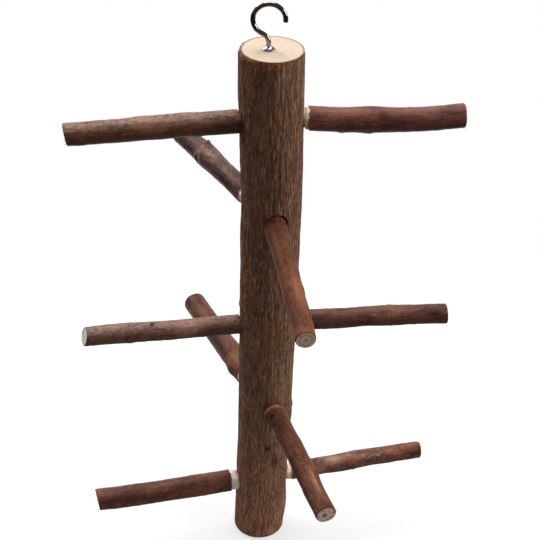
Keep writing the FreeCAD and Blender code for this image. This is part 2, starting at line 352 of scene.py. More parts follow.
def add_object(name: str, data: bpy.types.ID) -> bpy.types.Object:
    """Put a mesh, a light or a camera into the scene.

    Args:
        name: Name of the new object.
        data: The mesh, light or camera.

    Returns:
        The object.
    """
    made = bpy.data.objects.new(name, data)
    bpy.context.scene.collection.objects.link(made)
    return made


def piece_from_tree(name: str, points: "MarkMesh", tree: bpy.types.NodeTree,
                    values: Mapping[str, Any]) -> bpy.types.Object:
    """Run a shape tree on a mesh of marks and keep the result as a plain mesh.

    Args:
        name: Name of the new object.
        points: Marks that the tree reads.
        tree: The shape tree.
        values: Values of its named inputs.

    Returns:
        The finished object, with no modifier left on it.
    """
    piece = add_object(name, points.mesh(f"{name}_marks"))
    modifier = piece.modifiers.new("shape", "NODES")
    modifier.node_group = tree
    for item in tree.interface.items_tree:
        if item.item_type == "SOCKET" and item.in_out == "INPUT" and item.name in values:
            modifier[item.identifier] = values[item.name]
    graph = bpy.context.evaluated_depsgraph_get()
    finished = bpy.data.meshes.new_from_object(
        piece.evaluated_get(graph), preserve_all_data_layers=True, depsgraph=graph)
    piece.modifiers.clear()
    marks = piece.data
    piece.data = finished
    finished.name = name
    bpy.data.meshes.remove(marks)
    return piece


def in_metres(lengths: Mapping[str, float]) -> dict[str, float]:
    """Named lengths in metres, from millimetres."""
    return {name: length * MM for name, length in lengths.items()}


def hand_over(piece: bpy.types.Object, body: str, node: str) -> None:
    """Tie a piece to its body and its solid, and report it.

    Args:
        piece: The finished piece.
        body: Body that it rides on.
        node: Solid that it stands for.
    """
    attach(piece, body)
    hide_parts(node)
    LOG.info("%s: %d faces", piece.name, len(piece.data.polygons))


@dataclass(frozen=True)
class Mark:
    """A bump, hollow, scar or stain at one place of a bark surface; on some twigs, a strip of painted
    highlight or painted shade.

    Along is a share of the length, around is in degrees, rise and reach are in millimetres.
    Tint is above 0 for pale and below 0 for dark, and stretch draws the mark out lengthwise.
    """

    along: float
    around: float
    rise: float = 0.0
    reach: float = 2.0
    tint: float = 0.0
    stretch: float = 1.0

    def numbers(self) -> dict[str, float]:
        """What a shape tree reads of the mark, in metres."""
        return {"rise": self.rise * MM, "reach": self.reach * MM, "tint": self.tint, "stretch": self.stretch}


class MarkMesh:
    """Loose points that carry the numbers of marks or holes to a shape tree."""

    def __init__(self) -> None:
        """Start with no points."""
        self.places: list[Vector] = []
        self.rows: list[dict[str, Any]] = []

    def add(self, place: Vector, **row: Any) -> None:
        """Add one point and its named numbers or vectors."""
        self.places.append(place)
        self.rows.append(row)

    def mesh(self, name: str) -> bpy.types.Mesh:
        """Mesh of loose points with one attribute for each named number.

        Args:
            name: Name of the mesh.

        Returns:
            The mesh.
        """
        mesh = bpy.data.meshes.new(name)
        mesh.from_pydata([tuple(place) for place in self.places], [], [])
        for key in {key: None for row in self.rows for key in row}:
            sample = next(row[key] for row in self.rows if key in row)
            if isinstance(sample, (int, float)):
                layer = mesh.attributes.new(key, "FLOAT", "POINT")
                layer.data.foreach_set("value", [float(row.get(key, 0.0)) for row in self.rows])
            else:
                layer = mesh.attributes.new(key, "FLOAT_VECTOR", "POINT")
                flat = [part for row in self.rows for part in row.get(key, UP)]
                layer.data.foreach_set("vector", flat)
        return mesh


class ShapeGraph(Graph):
    """A shape tree, with the steps that the log, the twigs and the hook share."""

    @classmethod
    def shape(cls, name: str, sizes: Sequence[str]) -> "ShapeGraph":
        """Start a shape tree that takes points, sizes, a seat and a material, and makes a shape.

        Args:
            name: Name of the tree.
            sizes: Names of its sizes.

        Returns:
            The graph of the tree.
        """
        shape = Port("Geometry", PortKind.SHAPE)
        inputs = [shape, *(Port(size) for size in sizes), Port("Seat", PortKind.VECTOR),
                  Port("Material", PortKind.MATERIAL)]
        return cls.group(name, TreeKind.SHAPE, inputs, [shape])

    def tube(self, around: int, along: int) -> tuple[Signal, Signal, Signal]:
        """Flat grid that becomes a tube.

        Args:
            around: Points round the tube.
            along: Points along it.

        Returns:
            The grid, the angle round the tube in radians, and the share along it.
        """
        grid = self.node("GeometryNodeMeshGrid", {"Vertices X": around + 1, "Vertices Y": along})
        across, share, _ = Signal(self, grid.outputs["UV Map"]).parts()
        return Signal(self, grid.outputs["Mesh"]), across * TURN, share

    def place(self, shape: Signal, position: Signal) -> Signal:
        """Move every point to a position."""
        return self.output("GeometryNodeSetPosition", {"Geometry": shape, "Position": position})

    def store(self, shape: Signal, name: str, value: Any, kind: str = "FLOAT",
              domain: str = "POINT") -> Signal:
        """Keep a value on the points or faces under a name."""
        return self.output("GeometryNodeStoreNamedAttribute", {
            "Geometry": shape, "Name": name, "Value": value}, data_type=kind, domain=domain)

    def stored(self, name: str, kind: str = "FLOAT") -> Signal:
        """A named value of the points."""
        return self.output("GeometryNodeInputNamedAttribute", {"Name": name}, data_type=kind)

    def weld(self, shape: Signal, distance: float = 2e-6) -> Signal:
        """Close the seam and the poles."""
        return self.output("GeometryNodeMergeByDistance", {"Geometry": shape, "Distance": distance})

    def shade(self, shape: Signal, crease: float) -> Signal:
        """Smooth faces, with edges sharp from an angle in degrees.

        Args:
            shape: The shape.
            crease: Angle between faces from which an edge is sharp.

        Returns:
            The shaded shape.
        """
        soft = self.output("GeometryNodeSetShadeSmooth", {
            "Geometry": shape, "Shade Smooth": True}, domain="FACE")
        angle = self.output("GeometryNodeInputMeshEdgeAngle", pick="Unsigned Angle")
        sharp = self.math("GREATER_THAN", angle, math.radians(crease))
        return self.output("GeometryNodeSetShadeSmooth", {
            "Geometry": soft, "Selection": sharp, "Shade Smooth": False}, domain="EDGE")

    def finish(self, shape: Signal) -> None:
        """Realize, give the material and send the shape out.

        Args:
            shape: The finished shape.
        """
        real = self.output("GeometryNodeRealizeInstances", {"Geometry": shape})
        self.give("Geometry", self.output("GeometryNodeSetMaterial", {
            "Geometry": real, "Material": self.take("Material")}))

    def all_marks(self, marks: Signal, place: Signal, axis: int) -> tuple[Signal, Signal]:
        """Rise and tint that the marks together give.

        Args:
            marks: Geometry of mark points.
            place: Where on the plain surface it is read.
            axis: Number of the axis that marks are drawn out along.

        Returns:
            The rise in metres and the tint.
        """
        start, end = self.node("GeometryNodeRepeatInput"), self.node("GeometryNodeRepeatOutput")
        start.pair_with_output(end)
        end.repeat_items.clear()
        totals = ("Rise", "Tint")
        for name in totals:
            end.repeat_items.new("FLOAT", name)
        count = self.output(
            "GeometryNodeAttributeDomainSize", {"Geometry": marks}, "Point Count", component="MESH")
        self.plug(count, start.inputs["Iterations"])
        index = Signal(self, start.outputs["Iteration"])

        def read(value: Signal, kind: str = "FLOAT") -> Signal:
            """A value of this round's mark."""
            return self.output("GeometryNodeSampleIndex", {
                "Geometry": marks, "Value": value, "Index": index}, data_type=kind, domain="POINT")
        centre = read(self.output("GeometryNodeInputPosition"), "FLOAT_VECTOR")
        offset = self.output("ShaderNodeVectorMath", {0: place, 1: centre}, operation="SUBTRACT")
        axes = list(offset.parts())
        axes[axis] = axes[axis] / read(self.stored("stretch"))
        near = self.vector(*axes).length().bell(read(self.stored("reach")))
        for name in totals:
            total = Signal(self, start.outputs[name]) + near * read(self.stored(name.lower()))
            self.plug(total, end.inputs[name])
        rise, tint = (Signal(self, end.outputs[name]) for name in totals)
        return rise, tint


def span(share: Signal, low: float, high: float) -> Signal:
    """0 before a stretch of the tube, 1 after it, and even between."""
    return ((share - low) * (1 / (high - low))).clamp()


# The log


class Level(Enum):
    """Heights of the perches, as shares of the log's length."""

    TOP = 0.884
    UPPER_BACK = 0.7055
    UPPER_FRONT = 0.717
    MIDDLE = 0.490
    LOWER_BACK = 0.3105
    LOWER_FRONT = 0.330
    BOTTOM = 0.121


@dataclass(frozen=True)
class Socket:
    """A drilled hole: its foot, its direction outwards, and its radius and depth in metres."""

    foot: Vector
    axis: Vector
    radius: float
    depth: float


@dataclass
class Trunk:
    """The log, with its bark, its sawn ends and the drilled sockets. Millimetres and degrees."""

    length: float = 400.0
    base_dia: float = 38.3
    top_dia: float = 40.4
    bow: float = 2.5
    edge: float = 1.0
    socket_dia: float = 11.0
    socket_depth: float = 15.0
    worn_dia: float = 14.6
    worn_depth: float = 3.6
    worn_shift: tuple[float, float] = (1.0, 1.3)
    pilot_dia: float = 3.5
    pilot_depth: float = 26.0
    wobble: float = 2.0
    lumps: float = 0.9
    fissure_depth: float = 0.5
    around: int = 300
    rows: int = 290
    bore_sides: int = 56
    crease: float = 48.0
    seed: float = 3.0
    marks: tuple[Mark, ...] = ()

    def centre(self, share: float) -> Vector:
        """Middle of the bowed log at a share of its length, in metres."""
        return Vector((4 * self.bow * share * (1 - share), 0, self.length * share)) * MM

    def radius(self, share: float) -> float:
        """Plain radius of the log at a share of its length, in metres."""
        return (self.base_dia + (self.top_dia - self.base_dia) * share) / 2 * MM

    def surface(self, share: float, around: float) -> Vector:
        """Point of the plain surface at a height and an azimuth in degrees."""
        angle = math.radians(around)
        return self.centre(share) + Vector((math.cos(angle), math.sin(angle), 0)) * self.radius(share)

    def tree(self) -> bpy.types.NodeTree:
        """Shape tree of the log.

        Returns:
            The tree; its geometry input holds the marks and the holes as points.
        """
        g = ShapeGraph.shape("log_shape", (
            "Length", "Base radius", "Top radius", "Bow", "Edge", "Wobble", "Lumps", "Fissures", "Seed"))
        length, edge = g.take("Length"), g.take("Edge")
        grid, angle, share = g.tube(self.around, self.rows)
        cap_low, bevel, side, rim = 0.03, 0.045, 0.90, 0.955
        top_band, chip_depth, saw_depth = 4 * MM, 0.5 * MM, 0.25 * MM
        rim_bevel = edge * 0.55
        height = (span(share, cap_low, bevel) * edge
                  + span(share, bevel, side) * (length - edge - top_band)
                  + span(share, side, rim) * top_band)
        fill = span(share, 0.0, cap_low) * (1 - span(share, rim, 1.0))
        up = height / length
        radius = g.blend(up, g.take("Base radius"), g.take("Top radius"))
        inset = (edge * (1 - span(share, cap_low, bevel))
                 + rim_bevel * height.smooth(length - edge, length))
        plain = g.vector(radius * angle.cos(), radius * angle.sin(), height)
        moved = self.seeded(g, plain)
        relief = (
            (g.noise(moved.stretch((1, 1, 0.35)), 22, 1) - 0.5) * g.take("Wobble")
            + (g.noise(moved.stretch((1, 1, 0.5)), 90, 2) - 0.5) * g.take("Lumps")
            + self.fissures(g, moved) * g.take("Fissures"))
        bulge = g.vector(up * (1 - up) * 4 * g.take("Bow"), 0.0, 0.0)
        holes = g.node("GeometryNodeSeparateGeometry", {
            "Geometry": g.take("Geometry"), "Selection": g.math("GREATER_THAN", g.stored("bore"), 0.0)},
            domain="POINT")
        marks = Signal(g, holes.outputs["Inverted"])
        rise, _ = g.all_marks(marks, plain.shift(bulge), 2)
        chip = self.chips(g, moved, height, length)
        side_mask = height.smooth(0.0, 2 * MM) * (1 - height.smooth(length - 1.2 * MM, length))
        out = (radius - inset + (relief + rise) * side_mask - chip * chip_depth) * fill
        x, y = out * angle.cos(), out * angle.sin()
        saw = (g.noise(g.vector(x, y * 6.0, 0.0), 160, 2) - 1.0) * saw_depth
        top = span(share, rim, rim + 0.004)
        place = g.vector(x, y, height + saw * top).shift(bulge)
        shape = g.weld(g.place(grid, place))
        shape = self.drill(g, shape, Signal(g, holes.outputs["Selection"]))
        shape = self.label(g, shape, marks, length)
        g.finish(g.shade(shape, self.crease))
        return g.tree

    @staticmethod
    def seeded(g: Graph, place: Signal) -> Signal:
        """Place where the patterns are read, moved by the log's seed."""
        seed = g.take("Seed")
        return place.shift(g.vector(seed, seed * 0.7, seed * 0.3))

    @staticmethod
    def fissures(g: Graph, place: Signal) -> Signal:
        """Long narrow furrows of the bark, below 0 in a furrow and near 0 on a ridge.

        Args:
            g: Graph of the tree.
            place: Where the pattern is read.

        Returns:
            Height of the furrows.
        """
        warp = g.noise(place, 130, 1) * (3 * MM)
        bent = place.shift(g.vector(warp, warp, 0.0))
        long = g.noise(bent.stretch((1, 1, 0.07)), 330, 3, 0.55)
        fine = g.noise(bent.stretch((1, 1, 0.1)), 900, 2, 0.6)
        furrow = (long - 0.5).bell(0.055)
        return (furrow * 0.75 + fine * 0.45) * -1.0

    @staticmethod
    def chips(g: Graph, place: Signal, height: Signal, length: Signal) -> Signal:
        """Mask of the places under the upper rim where the outer bark has broken off.

        Args:
            g: Graph of the tree.
            place: Where the pattern is read.
            height: Height above the log's foot.
            length: Length of the log.

        Returns:
            1 where the bark is off.
        """
        deepest = 13.0 * MM
        lip = g.noise(place.stretch((1, 1, 0.0)), 190, 3, 0.6)
        start = length - (lip - 0.33) * deepest
        return height.smooth(start - 0.9 * MM, start + 0.7 * MM)

    def drill(self, g: ShapeGraph, shape: Signal, holes: Signal) -> Signal:
        """Cut the sockets: a round bar stands at each hole's point, along its axis.

        Args:
            g: Graph of the tree.
            shape: The solid log.
            holes: Points of the holes.

        Returns:
            The drilled log.
        """
        bar = g.output("GeometryNodeMeshCylinder", {
            "Vertices": self.bore_sides, "Radius": 1.0, "Depth": 1.0})
        bar = g.output("GeometryNodeTransform", {"Geometry": bar, "Translation": (0.0, 0.0, 0.5)})
        aim = g.stored("axis", "FLOAT_VECTOR")
        turn = g.output("FunctionNodeAlignRotationToVector", {"Vector": aim}, axis="Z")
        bore, deep = g.stored("bore"), g.stored("deep")
        bars = g.output("GeometryNodeInstanceOnPoints", {
            "Points": holes, "Instance": bar, "Rotation": turn, "Scale": g.vector(bore, bore, deep)})
        bars = g.output("GeometryNodeRealizeInstances", {"Geometry": bars})
        bars = g.store(bars, "drilled", 1.0, domain="FACE")
        shape = g.store(shape, "drilled", 0.0, domain="FACE")
        return g.output("GeometryNodeMeshBoolean", {"Mesh 1": shape, "Mesh 2": bars},
                        operation="DIFFERENCE", solver="MANIFOLD")

    def label(self, g: ShapeGraph, shape: Signal, marks: Signal, length: Signal) -> Signal:
        """Store what the material reads: tint of marks, furrows, chipped rim and sawn ends.

        Args:
            g: Graph of the tree.
            shape: The drilled log.
            marks: Points of the marks.
            length: Length of the log.

        Returns:
            The log with its values.
        """
        place = g.output("GeometryNodeInputPosition")
        x, y, z = place.parts()
        up = z / length
        x = x - up * (1 - up) * 4 * g.take("Bow")
        away = (x * x + y * y).root()
        radius = g.blend(up, g.take("Base radius"), g.take("Top radius"))
        inward = radius - away
        _, tint = g.all_marks(marks, place, 2)
        moved = self.seeded(g, g.vector(x / away * radius, y / away * radius, z))
        bark_inside, wood_outside = 1.0 * MM, 1.4 * MM
        ends = z.smooth(length - 0.6 * MM, length - 0.35 * MM) + z.smooth(0.35 * MM, 0.1 * MM)
        sawn = ends * inward.smooth(bark_inside, wood_outside)
        for name, value in (("tint", tint), ("furrow", self.fissures(g, moved)),
                            ("chip", self.chips(g, moved, z, length)), ("sawn", sawn.clamp())):
            shape = g.store(shape, name, value)
        return shape

    def build(self, sockets: Sequence[Socket], material: bpy.types.Material) -> bpy.types.Object:
        """Make the log.

        Args:
            sockets: Holes for the perches.
            material: Finish of the log.

        Returns:
            The finished object.
        """
        points = MarkMesh()
        for mark in self.marks:
            points.add(self.surface(mark.along, mark.around), **mark.numbers())
        for hole in sockets:
            points.add(hole.foot, bore=hole.radius, deep=hole.depth, axis=hole.axis)
        values: dict[str, Any] = in_metres({
            "Length": self.length, "Base radius": self.base_dia / 2, "Top radius": self.top_dia / 2,
            "Bow": self.bow, "Edge": self.edge, "Wobble": self.wobble, "Lumps": self.lumps,
            "Fissures": self.fissure_depth})
        values.update({"Seed": self.seed, "Material": material})
        return piece_from_tree("log", points, self.tree(), values)


# The perches


@dataclass(frozen=True)
class Ring:
    """A scar round a twig: its place along the limb, and how far it stands out in millimetres."""

    along: float = 0.5
    rise: float = 0.0


@dataclass
class Twig:
    """A perch: a straight peg, a whittled neck and a bent limb in its bark. Millimetres and degrees."""

    name: str
    level: Level
    length: float
    bare: float
    root: float
    knot: float
    tip: float
    knot_share: float
    sag: float
    finish: "TwigFinish"
    rings: tuple[Ring, Ring] = (Ring(), Ring())
    marks: tuple[Mark, ...] = (Mark(0.5, 0.0),)
    ragged: float = 0.5
    wrinkle: float = 0.22
    lumps: float = 0.55
    fibres: int = 3
    saw_up: float = 0.3
    saw_side: float = 0.2
    droop: float = 0.7
    seed: float = 1.0
    peg_dia: float = 10.9
    peg_length: float = 14.5
    bark_thickness: float = 0.75
    crease: float = 55.0

    LENGTHS = ("Bare", "Length", "Root", "Knot", "Tip", "Sag", "Droop", "Bark thickness", "Ragged",
               "Wrinkle", "Lumps", "Saw up", "Saw side", "Peg length")
    OTHERS = ("Surface", "Peg radius", "Knot share", "Ring 1 share", "Ring 1 rise", "Ring 2 share",
              "Ring 2 rise", "Fibres", "Seed", "Azimuth")

    @classmethod
    def tree(cls, around: int = 96, rows: int = 330) -> bpy.types.NodeTree:
        """Shape tree that all perches share.

        Args:
            around: Points round the twig.
            rows: Points along it.

        Returns:
            The tree; its geometry input holds the twig's marks as points.
        """
        g = ShapeGraph.shape("twig_shape", cls.LENGTHS + cls.OTHERS)
        surface, root, seed = g.take("Surface"), g.take("Root"), g.take("Seed")
        bark = surface + g.take("Bare")
        tip = surface + g.take("Length")
        grid, angle, share = g.tube(around, rows)
        cap_low, mouth, neck, limb, rim = 0.02, 0.075, 0.20, 0.90, 0.945
        shoulder, rim_band = 3 * MM, 1.5 * MM
        knot_reach, rim_reach, lean_reach = 12 * MM, 1.1 * MM, 8 * MM
        rim_wear, saw_depth, wander = 0.45 * MM, 0.22 * MM, 2.2 * MM
        limb_length = tip - bark
        out = (surface - g.take("Peg length") + span(share, cap_low, mouth) * g.take("Peg length")
               + span(share, mouth, neck) * (g.take("Bare") + shoulder)
               + span(share, neck, limb) * (limb_length - shoulder - rim_band)
               + span(share, limb, rim) * rim_band)
        fill = span(share, 0.0, cap_low) * (1 - span(share, rim, 1.0))
        along = ((out - bark) / limb_length).clamp()
        side, top = angle.sin(), angle.cos()
        plain = g.vector(out, root * 0.5 * side, root * 0.5 * top)
        moved = plain.shift(g.vector(seed, seed * 0.6, seed * 0.3))
        rise, tint = g.all_marks(g.take("Geometry"), plain, 0)
        taper = g.blend(along, root, g.take("Tip"))
        at_knot = g.blend(g.take("Knot share"), root, g.take("Tip"))
        swell = (g.take("Knot") - at_knot) * ((along - g.take("Knot share")) * limb_length).bell(knot_reach)
        relief = cls.relief(g, moved, along, limb_length, angle)
        cover = cls.bark_edge(g, out, bark, angle)
        bark_radius = (taper + swell) * 0.5 + relief + rise
        neck_radius = cls.neck(g, out, bark, angle)
        radius = g.blend(cover, neck_radius, bark_radius)
        worn_rim = (out.smooth(tip - rim_reach, tip) ** 2.0) * rim_wear
        radius = (radius - worn_rim) * fill
        end = span(share, rim, rim + 0.003)
        saw = (g.noise(g.vector(seed, radius * side * 0.25, radius * top), 900, 2) - 0.5) * saw_depth
        tilt = (g.take("Saw up") * top + g.take("Saw side") * side) * radius / root * 2.0
        lean = out.smooth(tip - lean_reach, tip) * tilt
        drift = g.noise(g.vector(out + seed, seed, 0.0), 28, 1) - 0.5
        drift_side = g.noise(g.vector(seed * 2.0, out + seed, 0.0), 24, 1) - 0.5
        free = along.smooth(0.0, 0.35) * wander
        lift = g.take("Sag") * 4.0 * along * (1 - along) - g.take("Droop") * along ** 1.5 + drift * free
        place = g.vector(out + lean + saw * end, radius * side + drift_side * free, radius * top + lift)
        sawn = (end + (1 - span(share, 0.0, cap_low))).clamp()
        shape = g.place(grid, place)
        stick = g.vector(out, root * 0.5 * side * fill, root * 0.5 * top * fill)
        shape = g.store(shape, "stick", stick, "FLOAT_VECTOR")
        for name, value in (("cover", cover * (1 - sawn)), ("sawn", sawn), ("tint", tint * cover),
                            ("relief", relief / MM), ("peg", out.smooth(surface, surface - 0.8 * MM))):
            shape = g.store(shape, name, value)
        shape = g.output("GeometryNodeFlipFaces", {"Mesh": g.weld(shape)})
        shape = g.output("GeometryNodeJoinGeometry", {"Geometry": shape})
        cls.fray(g, shape.socket.node, tip)
        shape = g.shade(shape, cls.crease)
        turn = g.vector(0.0, 0.0, g.take("Azimuth"))
        g.finish(g.output("GeometryNodeTransform", {
            "Geometry": shape, "Translation": g.take("Seat"), "Rotation": turn}))
        return g.tree

    @staticmethod
    def relief(g: Graph, place: Signal, along: Signal, limb_length: Signal, angle: Signal) -> Signal:
        """Height of the bark's surface: swellings, ring scars and lengthwise wrinkles.

        Args:
            g: Graph of the tree.
            place: Where the pattern is read.
            along: Share of the limb.
            limb_length: Length of the limb.
            angle: Angle round the twig.

        Returns:
            The height in metres.
        """
        broad = (g.noise(place.stretch((0.6, 1, 1)), 60, 1) - 0.5) * g.take("Lumps") * 1.6
        lumps = (g.noise(place, 190, 2, 0.55) - 0.5) * g.take("Lumps")
        wrinkle = (g.noise(place.stretch((0.22, 1, 1)), 1100, 3, 0.6) - 0.5) * g.take("Wrinkle")
        waver = (g.noise(place, 140, 1) - 0.5) * (5 * MM)
        total = broad + lumps + wrinkle
        partly = g.noise(place.stretch((0.3, 1, 1)), 90, 1).smooth(0.38, 0.62)
        for number in (1, 2):
            away = (along - g.take(f"Ring {number} share")) * limb_length + waver + angle.cos() * (0.5 * MM)
            ridge = away.bell(1.3 * MM) - (away + 2.2 * MM).bell(1.1 * MM) * 0.5
            total = total + ridge * partly * g.take(f"Ring {number} rise")
        return total

    @staticmethod
    def bark_edge(g: Graph, out: Signal, bark: Signal, angle: Signal) -> Signal:
        """Mask of the bark: 0 on the whittled neck, 1 past the knife's ragged edge.

        Args:
            g: Graph of the tree.
            out: Distance from the log's axis.
            bark: Distance at which the bark starts.
            angle: Angle round the twig.

        Returns:
            The mask.
        """
        turn = g.vector(angle.cos() + g.take("Seed"), angle.sin(), 0.0)
        jag = (g.noise(turn, 2.2, 3, 0.6) - 0.35) * 3.2
        snug = g.take("Bare").smooth(4 * MM, 2 * MM)
        edge = bark + jag * g.take("Ragged") - Twig.hollow(g, angle) * snug
        return out.smooth(edge - 0.25 * MM, edge + 0.35 * MM)

    @staticmethod
    def hollow(g: Graph, angle: Signal) -> Signal:
        """How far the round log falls back beside the twig's middle line."""
        surface, across = g.take("Surface"), g.take("Root") * 0.5 * angle.sin()
        return surface - (surface * surface - across * across).root()

    @staticmethod
    def neck(g: Graph, out: Signal, bark: Signal, angle: Signal) -> Signal:
        """Radius of the peg and of the whittled neck, with knife facets outside the log.

        Args:
            g: Graph of the tree.
            out: Distance from the log's axis.
            bark: Distance at which the bark starts.
            angle: Angle round the twig.

        Returns:
            The radius in metres.
        """
        surface, peg = g.take("Surface"), g.take("Peg radius")
        full = g.take("Root") * 0.5 - g.take("Bark thickness")
        start = surface + 0.3 * MM - Twig.hollow(g, angle)
        grow = ((out - start) / (bark - start).below(0.9 * MM).above(0.2 * MM)).clamp()
        facets = 9.0
        half = math.pi / facets
        turn = g.math("FLOORED_MODULO", angle + g.take("Seed"), 2 * half) - half
        flat = math.cos(half) / turn.cos()
        outside = out.smooth(surface, surface + 1.5 * MM)
        return g.blend(grow, peg, full) * g.blend(outside * 0.8, 1.0, flat)

    @staticmethod
    def fray(g: ShapeGraph, join: bpy.types.Node, tip: Signal) -> None:
        """Add torn fibres round the rim of the sawn end to a join node.

        Args:
            g: Graph of the tree.
            join: Node that takes the fibres.
            tip: Distance of the sawn end from the log's axis.
        """
        index = g.output("GeometryNodeInputIndex")

        def draw(low: float, high: float, seed: int) -> Signal:
            """A random number for each fibre.

            Args:
                low: Smallest number.
                high: Largest number.
                seed: Which draw it is.

            Returns:
                The number.
            """
            node = g.node("FunctionNodeRandomValue", data_type="FLOAT")
            named = {socket.identifier: socket for socket in node.inputs}
            for key, value in (("Min_001", low), ("Max_001", high), ("ID", index), ("Seed", seed)):
                g.plug(value, named[key])
            return Signal(g, next(socket for socket in node.outputs if socket.identifier == "Value_001"))
        in_bark, in_wood = 0.35 * MM, 0.2 * MM
        angle = draw(0.0, TURN, 4) + g.take("Seed") * 2.4
        reach = g.take("Tip") * 0.5 - in_bark
        place = g.vector(tip - in_wood, reach * angle.sin(), reach * angle.cos())
        points = g.output("GeometryNodePoints", {"Count": g.take("Fibres"), "Position": place})
        hair = g.output("GeometryNodeMeshCone", {
            "Vertices": 5, "Side Segments": 3, "Radius Top": 0.03, "Radius Bottom": 0.17, "Depth": 1.0})
        outward, aside, upward = draw(0.1, 1.0, 5), draw(-0.8, 0.8, 6), draw(-0.9, 0.5, 7)
        aim = g.vector(outward, angle.sin() + aside, angle.cos() + upward)
        turn = g.output("FunctionNodeAlignRotationToVector", {"Vector": aim}, axis="Z")
        scale = g.vector(MM, MM, draw(1.0, 3.2, 8) * MM)
        hairs = g.output("GeometryNodeInstanceOnPoints", {
            "Points": points, "Instance": hair, "Rotation": turn, "Scale": scale})
        g.tree.links.new(g.output("GeometryNodeRealizeInstances", {"Geometry": hairs}).socket, join.inputs[0])

    def build(self, trunk: Trunk, axis: Vector, tree: bpy.types.NodeTree) -> bpy.types.Object:
        """Make the perch.

        Args:
            trunk: The log that it stands in.
            axis: Direction in which it points.
            tree: The perches' shape tree.

        Returns:
            The finished object.
        """
        surface = trunk.radius(self.level.value) / MM
        points = MarkMesh()
        for mark in self.marks:
            angle = math.radians(mark.around)
            out = surface + self.bare + mark.along * (self.length - self.bare)
            place = Vector((out, self.root / 2 * math.sin(angle), self.root / 2 * math.cos(angle))) * MM
            points.add(place, **mark.numbers())
        values: dict[str, Any] = in_metres({
            name: getattr(self, name.lower().replace(" ", "_")) for name in self.LENGTHS})
        for number, ring in enumerate(self.rings, 1):
            values.update({f"Ring {number} share": ring.along, f"Ring {number} rise": ring.rise * MM})
        values.update({
            "Surface": surface * MM, "Peg radius": self.peg_dia / 2 * MM, "Knot share": self.knot_share,
            "Fibres": float(self.fibres), "Seed": self.seed, "Azimuth": math.atan2(axis.y, axis.x),
            "Seat": tuple(trunk.centre(self.level.value)),
            "Material": self.finish.material(f"{self.name}_bark", self.seed)})
        return piece_from_tree(f"{self.name}_twig", points, tree, values)


# The hook


@dataclass
class Hook:
    """Screw hook: point, thread, shank, bend and open loop of one wire. Millimetres and degrees."""

    offset: float = -2.4
    plain: float = 3.0
    wire: float = 3.1
    loop: float = 9.65
    rise: float = 18.6
    bend: float = 7.0
    tip_drop: float = 1.4
    tip_round: float = 0.8
    thread: float = 16.8
    pitch: float = 1.4
    core: float = 2.1
    crest: float = 3.0
    point: float = 4.0
    crease: float = 60.0

    def tree(self, around: int = 32, rows: int = 760) -> bpy.types.NodeTree:
        """Shape tree of the hook.

        Args:
            around: Points round the wire.
            rows: Points along it.

        Returns:
            The tree.
        """
        sizes = ("Wire", "Loop", "Bend", "Join", "Shank", "Bend end", "Wire end", "Tip round", "Thread",
                 "Pitch", "Core", "Crest", "Point")
        g = ShapeGraph.shape("hook_shape", sizes)
        wire, loop, bend, join, shank, bend_end, end, tip, thread, pitch, core, crest, point = (
            g.take(name) for name in sizes)
        grid, angle, share = g.tube(around, rows)
        cap_low, pointed, cut, bent, rounded = 0.004, 0.03, 0.45, 0.94, 0.985
        along = (span(share, cap_low, pointed) * point + span(share, pointed, cut) * thread
                 + span(share, cut, bent) * (end - tip) + span(share, bent, rounded) * tip - thread - point)
        fill = span(share, 0.0, cap_low) * (1 - span(share, rounded, 1.0))
        turn = g.math("FRACT", along / pitch - angle * (1 / TURN) + 100.0)
        ridge = 1 - ((turn - 0.5).size() * 3.4).clamp().smooth(0.12, 1.0)
        first = thread * -1.0
        ends = along.smooth(first, first + 1.0 * MM) * (1 - along.smooth(-1.0 * MM, -0.2 * MM))
        screw = core + (crest - core) * ridge * ends
        cone = g.blend(((along + thread + point) / point).clamp(), 0.15 * MM, screw)
        radius = g.blend(along.smooth(-0.5 * MM, 0.0), cone, wire)
        past = ((along - end + tip) / tip).clamp()
        radius = (radius - (1 - (1 - past * past).above(0.0).root()) * tip) * fill
        leaning = ((along - shank) / bend).above(0.0).below(join)
        round_loop = ((along - bend_end) / loop).above(0.0)
        start = join + math.pi
        now = start - round_loop
        x = (leaning.cos() - 1) * bend + (now.cos() - start.cos()) * loop
        z = along.below(shank) + leaning.sin() * bend + (now.sin() - start.sin()) * loop
        heading = leaning - round_loop
        across = radius * angle.cos()
        place = g.vector(x + across * heading.cos(), radius * angle.sin(), z + across * heading.sin())
        shape = g.shade(g.weld(g.place(grid, place), 1e-6), self.crease)
        g.finish(g.output("GeometryNodeTransform", {"Geometry": shape, "Translation": g.take("Seat")}))
        return g.tree

    def build(self, top: float, material: bpy.types.Material) -> bpy.types.Object:
        """Make the hook.

        Args:
            top: Height of the log's upper end in metres.
            material: Finish of the wire.

        Returns:
            The finished object.
        """
        climb = math.sqrt(self.loop * (self.loop + 2 * self.bend))
        join = math.atan2(climb, self.bend)
        shank = self.plain + self.rise - climb
        bend_end = shank + self.bend * join
        wire_end = bend_end + self.loop * (math.pi + join + math.asin(self.tip_drop / self.loop))
        values: dict[str, Any] = in_metres({
            "Wire": self.wire / 2, "Loop": self.loop, "Bend": self.bend, "Shank": shank, "Bend end": bend_end,
            "Wire end": wire_end, "Tip round": self.tip_round, "Thread": self.thread, "Pitch": self.pitch,
            "Core": self.core / 2, "Crest": self.crest / 2, "Point": self.point})
        seat = (self.offset * MM, 0.0, top - self.plain * MM)
        values.update({"Join": join, "Seat": seat, "Material": material})
        return piece_from_tree("screw_hook", MarkMesh(), self.tree(), values)


